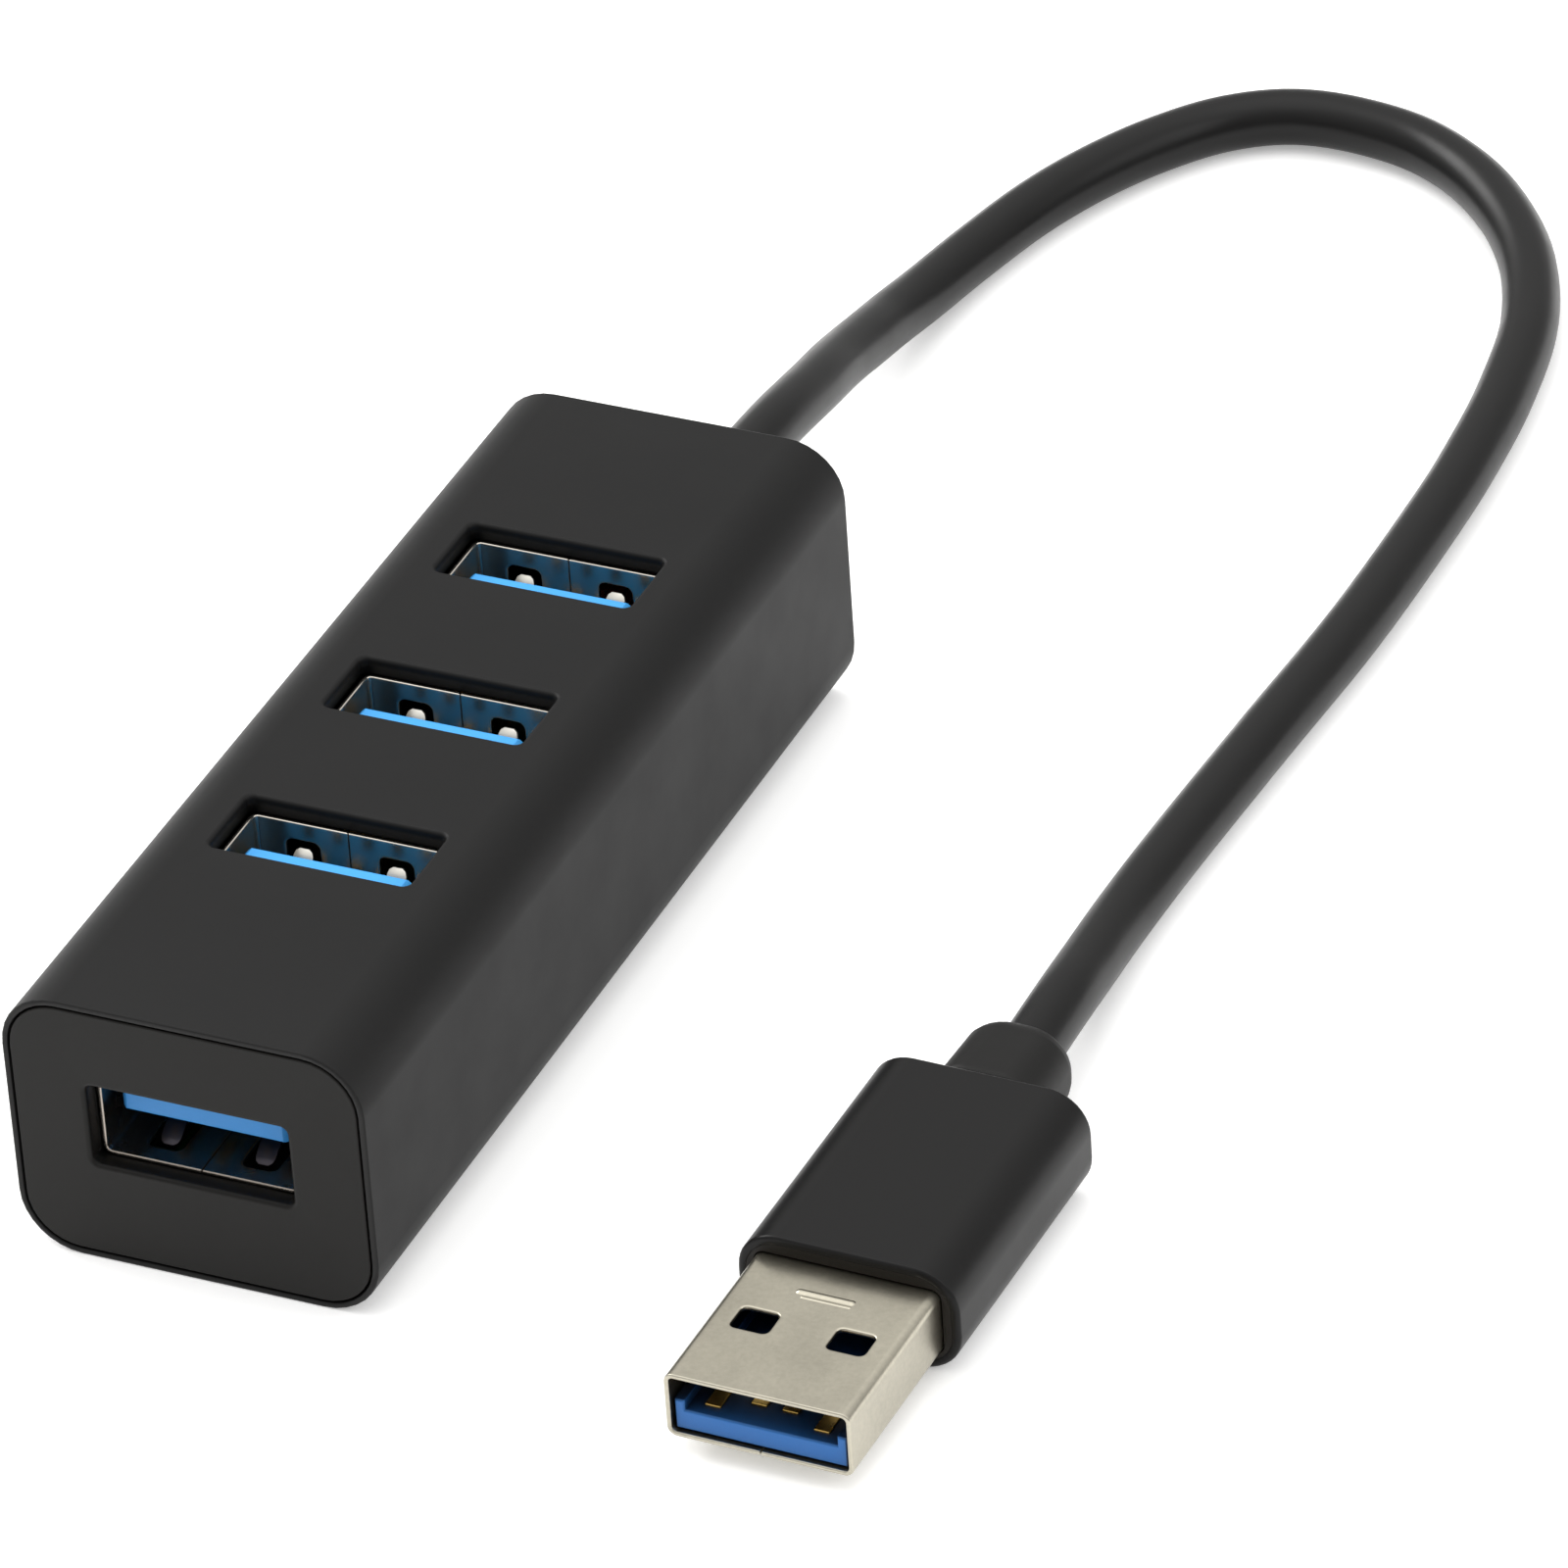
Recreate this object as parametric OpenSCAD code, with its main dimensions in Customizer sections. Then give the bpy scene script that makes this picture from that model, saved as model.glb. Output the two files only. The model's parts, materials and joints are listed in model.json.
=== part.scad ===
/* [Hub body] */
// Width of the hub body, left to right
hub_w = 24; // [23:0.5:26]
// Height of the hub body, table to top
hub_h = 18.6; // [18.6:0.2:20]
// Length of the hub body, front port to cable end
hub_l = 71; // [71:1:76]
// Outside corner radius of the extruded tube
corner_r = 3.9; // [3:0.1:4.5]
// Wall thickness of the tube
wall = 1.2; // [1:0.1:1.2]
// Thin rim left round each end cap
rim = 0.4; // [0.3:0.05:0.6]

/* [Ports] */
// Distance between neighbouring top ports
port_pitch = 16; // [15.5:0.5:16.5]
// Middle top port, measured from the middle of the body
port_row_y = 1.2; // [0:0.2:2]
// Height of the end port's middle above the table
end_port_z = 9.9; // [9.6:0.1:10.4]
// How far the metal port mouths sit below the surface
port_recess = 1.25; // [1.25:0.05:1.4]
// Size of each port slot in the body, long way
slot_w = 13.4; // [13.3:0.1:13.6]
// Size of each port slot in the body, short way
slot_h = 5.7; // [5.6:0.1:6]

/* [Cable] */
// Outside diameter of the cable
cord_d = 3.9; // [3.5:0.1:3.9]

/* [Plug] */
// Width of the plug's aluminium sleeve
sleeve_w = 14.4; // [13.8:0.1:15.4]
// Height of the plug's aluminium sleeve
sleeve_h = 7.2; // [7:0.1:7.6]
// Length of the plug's aluminium sleeve
sleeve_l = 19.5; // [18.5:0.1:20.5]
// Length of metal plug that shows in front of the sleeve
plug_reach = 12.7; // [12.2:0.1:13]

/* [Hidden] */
$fn = 48;

// Overlap given to a cutting shape so that it clears the face it cuts
cut = 1;
// Gap left round parts that slide into each other
fit_gap = 0.1;
front_y = -hub_l / 2;
back_y = hub_l / 2;
port_ys = [port_row_y - port_pitch, port_row_y, port_row_y + port_pitch];
slot_r = 0.5;

// End caps: a flange in the tube's thin rim and a plate inside the tube
rim_depth = 0.8;
cap_depth = 2.3;
cap_gap = 0.12;
// Clearance between the end port's metal mouth and the cap's step
mouth_gap = 0.05;

// Boards: the main board lies flat and the riser board stands behind the end port
board_t = 1;
board_top = 3.6;
board_w = 19;
board_front = front_y + 3;
board_back = back_y - 4;
tray_floor = 0.75;
tray_top = 5;
// Gaps beside and under the board in its tray, and how far the tray narrows below it
board_side_gap = 0.1;
board_under_gap = 0.05;
tray_step = 0.8;
rib_x = 7.9;
rib_w = 0.8;
riser_w = 17;
riser_top = 15.6;
pin_t = 0.4;
pin_up = 1.6;
pin_foot = 1.1;
pin_pitch = 1.5;

// Receptacle, standard size: the mouth is 12.5 x 5.12 inside a 0.3 sheet shell
usb_w = 12.5;
usb_h = 5.12;
sheet_t = 0.3;
// Butt seam where the folded sheet of a shell meets
seam_w = 0.08;
port_depth = hub_h - port_recess - board_top;
tongue_w = 11.1;
tongue_t = 1.84;
// How far each tongue's tip lies inside its mouth; the end port's tongue is shorter
top_tongue_recess = 0.45;
end_tongue_recess = 0.95;
base_h = 2.7;
// Bevels at the tongue's tip, on the side of its back and on the side of its contacts
chamfer = 0.35;
contact_chamfer = 0.12;
window_w = 2.3;
window_mouth = 1.25;
window_deep = 8;
finger_x = 3.15;
finger_w = 1.35;
finger_t = 0.25;
tail_l = 1.4;
tab_w = 2;
tab_gap = 0.4;
power_xs = [-3.5, -1, 1, 3.5];
fast_xs = [-4, -2, 0, 2, 4];
power_w = 0.9;
fast_w = 0.7;
leaf_t = 0.25;
// Depth of the fast contacts' legs inside the tongue, and of their tails in the board
fast_leg_y = -1.1;
fast_tail_y = -1.7;
tail_hole_d = 0.9;

// Plug: its tip's place on the table, its turn, and the pieces along it from the tip
plug_x = 39.42;
plug_y = -41.67;
plug_z = sleeve_h / 2;
plug_turn = -1;
metal_w = 12;
metal_h = 4.5;
metal_t = 0.32;
metal_r = 0.5;
metal_hidden = 7.5;
plug_window = [2.5, 2.1];
plug_window_x = 3.1;
plug_window_y = 5.5;
// Pressed bar behind the windows
plug_bar = [3.7, 0.7, 0.22];
plug_bar_x = -1.9;
plug_bar_y = 9.5;
// Blue block in the plug: its width, its top with rails at the sides, its inset and the gap below
plug_block_w = 11.1;
plug_block_top = -0.42;
plug_rail_w = 0.65;
plug_rail_h = 0.67;
plug_inset = 0.3;
plug_floor_gap = 0.1;
sleeve_r = 2.8;
sleeve_t = 0.55;
sleeve_back = plug_reach + sleeve_l;
// Strain relief, a little off the sleeve's middle: section at the sleeve, then narrower at the cable
// with round shoulders
relief_x = -0.25;
relief_l = 7.1;
relief_end = sleeve_back + relief_l;
relief_w = 7.2;
relief_h = 5.8;
relief_r = 2.4;
relief_tip_w = 6.8;
relief_tip_h = 5.4;
// Width of the flat end that the cable enters
relief_flat = cord_d + 0.1;

function plug_at(x, y) = [plug_x + x * cos(plug_turn) - y * sin(plug_turn),
    plug_y + x * sin(plug_turn) + y * cos(plug_turn), plug_z];

// Cable: its exit through the rear cap and its route over the table, hand placed
cord_r = cord_d / 2;
grommet_z = hub_h / 2;
grommet_neck_d = 6;
grommet_nose = 3;
grommet_flange_d = 8.5;
grommet_flange_l = 1.5;
grommet_collar_ds = [7.6, 7];
grommet_collar_l = 0.8;
grommet_nose_ds = [6.2, 5.2];
cord_route = [
    [0, back_y + grommet_nose, grommet_z], [0, 44, 9.2], [-0.2, 51, 8.5], [-0.7, 58, 7],
    [-1.3, 63.5, 5.6], [-1.6, 68.5, 4.3], [-1.8, 73, 3.2], [-1.5, 78, 2.4], [-0.6, 84.5, 2],
    [1, 91, 2], [3.1, 96.5, 2], [5.9, 101.5, 2], [9.3, 105.5, 2], [13.5, 107.8, 2],
    [18.6, 108, 2], [24, 106.5, 2], [29.6, 102.5, 2], [34.7, 96, 2], [38.1, 88, 2],
    [39.7, 79.5, 2], [40.4, 72, 2], [40.7, 64, 2], [40.6, 50, 2], [39.8, 36.5, 2],
    [39.1, 23.5, 2], [38.9, 15.2, 2.1], [39.3, 8.5, 2.8], [39.65, 3.6, 3.4],
    plug_at(relief_x, relief_end)];
cord_sides = 8;

// A point on a smooth curve through a list of points
function curve_at(p, i, t) =
    let (a = p[max(i - 1, 0)], b = p[i], c = p[i + 1], d = p[min(i + 2, len(p) - 1)])
    0.5 * (2 * b + (c - a) * t + (2 * a - 5 * b + 4 * c - d) * t * t + (3 * b - a - 3 * c + d) * t * t * t);
function curve(p, steps) =
    [for (i = [0:len(p) - 2], k = [0:steps - 1]) curve_at(p, i, k / steps), p[len(p) - 1]];
function unit(v) = v / norm(v);
// Direction of travel at each point, with the two ends given
function headings(p, first, last) =
    [for (i = [0:len(p) - 1]) i == 0 ? first : i == len(p) - 1 ? last : unit(p[i + 1] - p[i - 1])];
// One ring of points square to a direction of travel; side is any vector across it
function ring(c, dir, side, r, n) =
    let (u = unit(side - (side * dir) * dir), v = cross(dir, u))
    [for (k = [0:n - 1]) c + r * cos(360 * (k + 0.5) / n) * u + r * sin(360 * (k + 0.5) / n) * v];

// A round tube swept along points
module swept(p, first, last, side, r, n) {
    dirs = headings(p, first, last);
    rings = [for (i = [0:len(p) - 1]) ring(p[i], dirs[i], side, r, n)];
    points = [for (q = rings) for (v = q) v];
    walls = [for (i = [0:len(p) - 2], k = [0:n - 1])
        for (f = [[i * n + k, (i + 1) * n + k, i * n + (k + 1) % n],
                  [i * n + (k + 1) % n, (i + 1) * n + k, (i + 1) * n + (k + 1) % n]]) f];
    ends = [[for (k = [0:n - 1]) k], [for (k = [n - 1:-1:0]) (len(p) - 1) * n + k]];
    polyhedron(points = points, faces = concat(walls, ends), convexity = 10);
}

// A rectangle with round corners, centred
module round_rect(w, h, r) {
    square([w - 2 * r, h], center = true);
    square([w, h - 2 * r], center = true);
    for (x = [-1, 1], y = [-1, 1]) translate([x * (w / 2 - r), y * (h / 2 - r)]) circle(r);
}

// Draws a flat outline upright and runs it along +Y from y0
module along_y(y0, l) {
    translate([0, y0 + l, 0]) rotate([90, 0, 0]) linear_extrude(l) children();
}

module hub_section(inset) {
    translate([0, hub_h / 2]) round_rect(hub_w - 2 * inset, hub_h - 2 * inset, corner_r - inset);
}

module body_shell() {
    color([0.22, 0.22, 0.22]) difference() {
        along_y(front_y, hub_l) hub_section(0);
        along_y(front_y - cut, hub_l + 2 * cut) hub_section(wall);
        along_y(front_y - cut, cut + rim_depth) hub_section(rim);
        along_y(back_y - rim_depth, cut + rim_depth) hub_section(rim);
        for (y = port_ys)
            translate([0, y, hub_h - wall - cut]) linear_extrude(wall + 2 * cut)
                round_rect(slot_w, slot_h, slot_r);
    }
}

// The plain cap, drawn with its outer face at y = 0 and its inside towards +Y
module cap_blank() {
    along_y(0, rim_depth) hub_section(rim + cap_gap);
    along_y(rim_depth, cap_depth - rim_depth) hub_section(wall + fit_gap);
}

module front_cap() {
    color([0.2, 0.2, 0.19]) translate([0, front_y, 0]) difference() {
        cap_blank();
        translate([0, 0, end_port_z]) {
            along_y(-cut, cut + port_recess - mouth_gap) round_rect(slot_w, slot_h, slot_r);
            along_y(port_recess - mouth_gap, cap_depth)
                square([usb_w + 2 * sheet_t + 2 * fit_gap, usb_h + 2 * sheet_t + 2 * fit_gap], center = true);
        }
    }
}

module rear_cap() {
    color([0.2, 0.2, 0.19]) translate([0, back_y, 0]) rotate([0, 0, 180]) difference() {
        cap_blank();
        translate([0, -cut, grommet_z]) rotate([-90, 0, 0])
            cylinder(d = grommet_neck_d, h = cap_depth + 2 * cut);
    }
}

// Open tray that follows the tube's inside and carries the main board on two long ribs
module board_tray() {
    tray_l = board_back - board_front;
    floor_z = wall + fit_gap + tray_floor;
    board_under = board_top - board_t;
    side = board_w / 2 + board_side_gap;
    color([0.15, 0.15, 0.16]) {
        along_y(board_front, tray_l) difference() {
            hub_section(wall + fit_gap);
            translate([-hub_w / 2, tray_top]) square([hub_w, hub_h]);
            polygon([[-side + tray_step, floor_z], [side - tray_step, floor_z],
                [side, board_under - board_under_gap], [side, tray_top + cut],
                [-side, tray_top + cut], [-side, board_under - board_under_gap]]);
        }
        // each rib is rooted a little way into the floor
        rib_root = tray_floor / 2;
        for (x = [-1, 1]) translate([x * rib_x - rib_w / 2, board_front, floor_z - rib_root])
            cube([rib_w, tray_l, board_under - floor_z + rib_root]);
    }
}

// Holes for one receptacle's legs and tabs, drawn with the board's face at z = 0
module port_holes() {
    through = 3 * board_t;
    for (x = power_xs) translate([x, -leaf_t / 2, 0]) cylinder(d = tail_hole_d, h = through, center = true);
    for (x = fast_xs) translate([x, fast_tail_y + leaf_t / 2, 0])
        cylinder(d = tail_hole_d, h = through, center = true);
    for (x = [-1, 1]) translate([x * (usb_w + sheet_t) / 2, 0, 0])
        cube([sheet_t + tab_gap, tab_w + tab_gap, through], center = true);
}

module main_board() {
    color([0.05, 0.3, 0.12]) difference() {
        translate([-board_w / 2, board_front, board_top - board_t])
            cube([board_w, board_back - board_front, board_t]);
        for (y = port_ys) translate([0, y, board_top]) port_holes();
    }
}

module riser_board() {
    y0 = front_y + port_recess + port_depth;
    color([0.05, 0.3, 0.12]) difference() {
        translate([-riser_w / 2, y0, board_top]) cube([riser_w, board_t, riser_top - board_top]);
        translate([0, y0, end_port_z]) rotate([90, 0, 0]) rotate([0, 0, 180]) port_holes();
    }
}

// Right-angle pins that join the riser board to the main board
module riser_pins() {
    y0 = front_y + port_recess + port_depth + board_t;
    row = 4 * pin_pitch;
    color([0.75, 0.6, 0.25]) for (x = [-row:pin_pitch:row]) translate([x - pin_t / 2, y0, board_top]) {
        cube([pin_t, pin_t, pin_up]);
        cube([pin_t, pin_foot, pin_t]);
    }
}

// Chips and small parts that stand on the main board
module on_board(x, y, w, l, h) {
    translate([x - w / 2, y - l / 2, board_top]) cube([w, l, h]);
}

// The hub's chip stands under the end port; between two top ports lie the parts that serve them
chip_y = front_y + 8.5;
chip_row_y = 5.1;
between_ys = [for (i = [0, 1]) (port_ys[i] + port_ys[i + 1]) / 2];

module hub_controller() { color([0.1, 0.1, 0.1]) on_board(0, chip_y, 8, 8, 0.9); }
module memory_chip() { color([0.12, 0.12, 0.12]) on_board(-7, chip_y + 1, 3.9, 4.9, 1.5); }
module crystal() { color([0.8, 0.8, 0.78]) on_board(6.6, chip_y - 2.5, 3.2, 2.5, 0.8); }
module voltage_regulator() { color([0.1, 0.1, 0.1]) on_board(7, chip_y + 2, 3, 3, 1.1); }

module bulk_capacitors() {
    color([0.75, 0.55, 0.2]) for (x = [-7.2, 7.2], y = between_ys) on_board(x, y, 3.5, 2.8, 1.9);
}

module ceramic_capacitors() {
    color([0.7, 0.6, 0.45]) {
        for (x = [-3:2:3]) on_board(x, chip_y - chip_row_y, 0.8, 1.6, 0.8);
        for (x = [-3, -1], y = between_ys) on_board(x, y, 0.8, 1.6, 0.8);
    }
}

module chip_resistors() {
    color([0.08, 0.08, 0.09]) {
        for (x = [-3:1.5:3]) on_board(x, chip_y + chip_row_y, 0.8, 1.4, 0.45);
        for (x = [1, 3], y = between_ys) on_board(x, y, 0.8, 1.4, 0.45);
    }
}

module port_fuses() {
    color([0.1, 0.3, 0.2]) for (x = [-7.6, 7.6], y = between_ys) on_board(x, y + 3.4, 3.2, 1.6, 0.8);
}

module surge_arrays() {
    color([0.11, 0.11, 0.12]) for (x = [-2, 2], y = between_ys) on_board(x, y + 3.2, 1.6, 1.6, 0.9);
}

// One receptacle, drawn with its mouth at the origin facing +Z, its tongue on the -Y side
module port_shell() {
    out_w = usb_w + 2 * sheet_t;
    out_h = usb_h + 2 * sheet_t;
    color([0.75, 0.73, 0.67]) {
        difference() {
            translate([-out_w / 2, -out_h / 2, -port_depth]) cube([out_w, out_h, port_depth]);
            translate([-usb_w / 2, -usb_h / 2, -port_depth - cut]) cube([usb_w, usb_h, port_depth + 2 * cut]);
            for (x = [-1, 1]) translate([x * finger_x - window_w / 2, usb_h / 2 - sheet_t, -window_deep])
                cube([window_w, 3 * sheet_t, window_deep - window_mouth]);
            translate([-seam_w / 2, usb_h / 2 - sheet_t, -port_depth - cut])
                cube([seam_w, 3 * sheet_t, port_depth + 2 * cut]);
        }
        for (x = [-1, 1])
            translate([x * (usb_w + sheet_t) / 2 - sheet_t / 2, -tab_w / 2, -port_depth - tail_l])
                cube([sheet_t, tab_w, tail_l]);
    }
}

// Outline of one power contact: tail, leg against the tongue and sprung bow
power_outline = [[0, -port_depth - tail_l], [0, -9.6], [0.7, -5.7], [0.7, -5.2], [0.1, -3.9],
    [-leaf_t, -3.9], [0.45, -5.4], [-leaf_t, -9.2], [-leaf_t, -port_depth - tail_l]];
// Room behind a power contact's bow, for it to be pushed back into
bow_room = [[0.45, -5.4], [-leaf_t, -3.9], [-leaf_t, -9.2]];
// Outline of one fast contact: tail, jog at the board, leg inside the tongue and flat blade at its tip
fast_outline = [[fast_tail_y, -port_depth - tail_l], [fast_tail_y, -port_depth + 1],
    [fast_leg_y, -port_depth + 1], [fast_leg_y, -2.5], [-leaf_t, -2.5], [-leaf_t, -1.3], [0.05, -1.3],
    [0.05, -2.8], [fast_leg_y + leaf_t, -2.8], [fast_leg_y + leaf_t, -port_depth + 1 - leaf_t],
    [fast_tail_y + leaf_t, -port_depth + 1 - leaf_t], [fast_tail_y + leaf_t, -port_depth - tail_l]];

// Stands a (y, z) outline up across X, centred on x
module across_x(x, w) {
    translate([x - w / 2, 0, 0]) rotate([90, 0, 90]) linear_extrude(w) children();
}

module port_contacts() {
    color([0.8, 0.6, 0.25]) {
        for (x = power_xs) across_x(x, power_w) polygon(power_outline);
        for (x = fast_xs) across_x(x, fast_w) polygon(fast_outline);
    }
}

module port_insulator(recess) {
    base_gap = 0.05;
    base_w = usb_w - 2 * base_gap;
    base_d = usb_h - 2 * base_gap;
    tip = -recess;
    color([0.2, 0.45, 0.75]) difference() {
        union() {
            translate([-base_w / 2, -base_d / 2, -port_depth]) cube([base_w, base_d, base_h]);
            across_x(0, tongue_w) polygon([[0, -port_depth + base_h], [0, tip - contact_chamfer],
                [-contact_chamfer, tip], [-tongue_t + chamfer, tip], [-tongue_t, tip - chamfer],
                [-tongue_t, -port_depth + base_h]]);
        }
        for (x = power_xs) across_x(x, power_w) polygon(power_outline);
        for (x = power_xs) across_x(x, power_w) polygon(bow_room);
        for (x = fast_xs) across_x(x, fast_w) polygon(fast_outline);
    }
}

// A pair of spring fingers; each is rooted deep in the shell and bows into the mouth
finger_line = [[2.71, -7.95], [2.71, -7.2], [1.98, -3.9], [1.93, -3.5], [2.05, -3.1], [2.85, -1.95]];

module port_fingers() {
    outer = [for (p = finger_line) [p[0] + finger_t / 2, p[1]]];
    inner = [for (i = [len(finger_line) - 1:-1:0]) [finger_line[i][0] - finger_t / 2, finger_line[i][1]]];
    color([0.8, 0.79, 0.74]) for (x = [-1, 1]) across_x(x * finger_x, finger_w) polygon(concat(outer, inner));
}

// Moves a receptacle piece to one of the top ports, or to the end port
module at_top(i) { translate([0, port_ys[i], hub_h - port_recess]) children(); }
module at_end() {
    translate([0, front_y + port_recess, end_port_z]) rotate([90, 0, 0]) rotate([0, 0, 180]) children();
}

// Moulded collar that grips the cable in the rear cap
module cable_grommet() {
    color([0.12, 0.12, 0.12]) translate([0, 0, grommet_z]) rotate([-90, 0, 0]) {
        translate([0, 0, back_y - cap_depth - grommet_flange_l])
            cylinder(d = grommet_flange_d, h = grommet_flange_l);
        translate([0, 0, back_y - cap_depth]) cylinder(d = grommet_neck_d, h = cap_depth);
        translate([0, 0, back_y])
            cylinder(d1 = grommet_collar_ds[0], d2 = grommet_collar_ds[1], h = grommet_collar_l);
        translate([0, 0, back_y + grommet_collar_l])
            cylinder(d1 = grommet_nose_ds[0], d2 = grommet_nose_ds[1], h = grommet_nose - grommet_collar_l);
    }
}

// Eight insulated wires from the cable's inner end down to pads on the main board
module cable_wires() {
    wire_r = 0.4;
    wire_pitch = 0.95;
    pad_pitch = 4;
    // how far each row's pads lie from the grommet, and how far a wire runs straight
    pad_ys = [8, 4.5];
    straight = 3;
    start_y = back_y - cap_depth - grommet_flange_l;
    color([0.6, 0.15, 0.12]) for (row = [0, 1], i = [0:3]) {
        side = row == 0 ? 1 : -1;
        x0 = (i - 1.5) * wire_pitch;
        x1 = (i - 1.5) * pad_pitch - side;
        z0 = grommet_z + side / 2;
        y1 = start_y - pad_ys[row];
        a = [x0, start_y, z0];
        b = [x0, start_y - straight, z0];
        c = [x1, y1, z0];
        d = [x1, y1, board_top];
        path = [for (k = [0:10]) let (t = k / 10)
            pow(1 - t, 3) * a + 3 * pow(1 - t, 2) * t * b + 3 * (1 - t) * t * t * c + pow(t, 3) * d];
        swept(path, [0, -1, 0], [0, 0, -1], [1, 0, 0.01], wire_r, 8);
    }
}

module cable() {
    last = [-sin(plug_turn), cos(plug_turn), 0];
    color([0.18, 0.18, 0.19])
        swept(curve(cord_route, 2), [0, 1, 0], -last, [0, 0, 1], cord_r, cord_sides);
}

module at_plug() { translate([plug_x, plug_y, plug_z]) rotate([0, 0, plug_turn]) children(); }

module plug_shell() {
    l = plug_reach + metal_hidden;
    color([0.72, 0.7, 0.62]) at_plug() {
        difference() {
            along_y(0, l) round_rect(metal_w, metal_h, metal_r);
            along_y(-cut, l + 2 * cut) square([metal_w - 2 * metal_t, metal_h - 2 * metal_t], center = true);
            for (x = [-1, 1]) translate([x * plug_window_x, plug_window_y + plug_window[1] / 2, 0])
                cube([plug_window[0], plug_window[1], 2 * metal_h], center = true);
        }
        translate([plug_bar_x, plug_bar_y, metal_h / 2 - plug_bar[2] / 2]) cube(plug_bar);
    }
}

// Plug contacts: a pad on the block with a leg inside it for power, a bar on the block for data
pad = [1, 3.9, 0.12];
pad_leg_z = -0.5;
outer_pad_y = 1.2;
inner_pad_y = 2.25;
fast_bar = [fast_w, 6, 0.25];
fast_bar_y = 11.4;

// Outline of a power contact that starts at y0, measured up from the block's top
function pad_outline(y0) =
    let (back = plug_reach + metal_hidden, t = pad[2], drop = y0 + pad[1])
    [[y0, 0], [y0, t], [drop, t], [drop, pad_leg_z], [back, pad_leg_z], [back, pad_leg_z - t],
        [drop - t, pad_leg_z - t], [drop - t, 0]];

module plug_pads() {
    for (x = power_xs) translate([0, 0, plug_block_top])
        across_x(x, pad[0]) polygon(pad_outline(abs(x) > 2 ? outer_pad_y : inner_pad_y));
}

module plug_insulator() {
    l = plug_reach + metal_hidden - plug_inset;
    floor_z = -metal_h / 2 + metal_t + plug_floor_gap;
    color([0.12, 0.32, 0.62]) at_plug() difference() {
        translate([-plug_block_w / 2, plug_inset, floor_z])
            cube([plug_block_w, l, plug_block_top + plug_rail_h - floor_z]);
        translate([-plug_block_w / 2 + plug_rail_w, -cut, plug_block_top])
            cube([plug_block_w - 2 * plug_rail_w, l + 3 * cut, 2 * plug_rail_h]);
        plug_pads();
    }
}

module plug_contacts() {
    color([0.8, 0.6, 0.25]) at_plug() {
        plug_pads();
        for (x = fast_xs) translate([x - fast_bar[0] / 2, fast_bar_y, plug_block_top]) cube(fast_bar);
    }
}

module sleeve_outline(inset) {
    round_rect(sleeve_w - 2 * inset, sleeve_h - 2 * inset, sleeve_r - inset);
}

module plug_sleeve() {
    color([0.19, 0.19, 0.19]) at_plug() difference() {
        along_y(plug_reach, sleeve_l) sleeve_outline(0);
        along_y(plug_reach - cut, sleeve_l + 2 * cut) sleeve_outline(sleeve_t);
    }
}

// Moulded body that fills the sleeve and holds the metal plug
module plug_core() {
    color([0.1, 0.1, 0.1]) at_plug() difference() {
        along_y(plug_reach, sleeve_l) sleeve_outline(sleeve_t);
        along_y(plug_reach - cut, metal_hidden + cut) round_rect(metal_w, metal_h, metal_r);
    }
}

// Outline that narrows from w0 to w1 along +Y and ends in round shoulders beside a flat
module shouldered(w0, w1, l, flat) {
    r = (w1 - flat) / 2;
    polygon([[-w0 / 2, 0], [w0 / 2, 0], [w1 / 2, l - r], [flat / 2, l - r], [flat / 2, l],
        [-flat / 2, l], [-flat / 2, l - r], [-w1 / 2, l - r]]);
    for (x = [-1, 1]) translate([x * flat / 2, l - r]) circle(r);
}

// Where the shape from the front, from above and from the side all agree
module plug_strain_relief() {
    color([0.12, 0.12, 0.12]) at_plug() translate([relief_x, 0, 0]) intersection() {
        along_y(sleeve_back, relief_l) round_rect(relief_w, relief_h, relief_r);
        translate([0, sleeve_back, -relief_h]) linear_extrude(2 * relief_h)
            shouldered(relief_w, relief_tip_w, relief_l, relief_flat);
        translate([0, sleeve_back, 0]) rotate([0, 90, 0]) linear_extrude(2 * relief_w, center = true)
            shouldered(relief_h, relief_tip_h, relief_l, relief_flat);
    }
}

body_shell();
front_cap();
rear_cap();
board_tray();
main_board();
riser_board();
riser_pins();
hub_controller();
memory_chip();
crystal();
voltage_regulator();
bulk_capacitors();
ceramic_capacitors();
chip_resistors();
port_fuses();
surge_arrays();
at_top(0) port_shell();  // top_port_1_shell
at_top(0) port_insulator(top_tongue_recess);  // top_port_1_insulator
at_top(0) port_contacts();  // top_port_1_contacts
at_top(0) port_fingers();  // top_port_1_fingers
at_top(1) port_shell();  // top_port_2_shell
at_top(1) port_insulator(top_tongue_recess);  // top_port_2_insulator
at_top(1) port_contacts();  // top_port_2_contacts
at_top(1) port_fingers();  // top_port_2_fingers
at_top(2) port_shell();  // top_port_3_shell
at_top(2) port_insulator(top_tongue_recess);  // top_port_3_insulator
at_top(2) port_contacts();  // top_port_3_contacts
at_top(2) port_fingers();  // top_port_3_fingers
at_end() port_shell();  // end_port_shell
at_end() port_insulator(end_tongue_recess);  // end_port_insulator
at_end() port_contacts();  // end_port_contacts
at_end() port_fingers();  // end_port_fingers
cable_wires();
cable_grommet();
cable();
plug_strain_relief();
plug_sleeve();
plug_core();
plug_shell();
plug_insulator();
plug_contacts();
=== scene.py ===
"""Looks of a small USB hub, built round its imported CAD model.

Shapes are drawn in millimetres in each piece's own frame, then placed in the shared frame in metres.
Every place comes from the CAD boxes or from the same driving sizes that the CAD model uses.
"""

import json
import math

import bpy
import bmesh
from mathutils import Matrix, Vector


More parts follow.
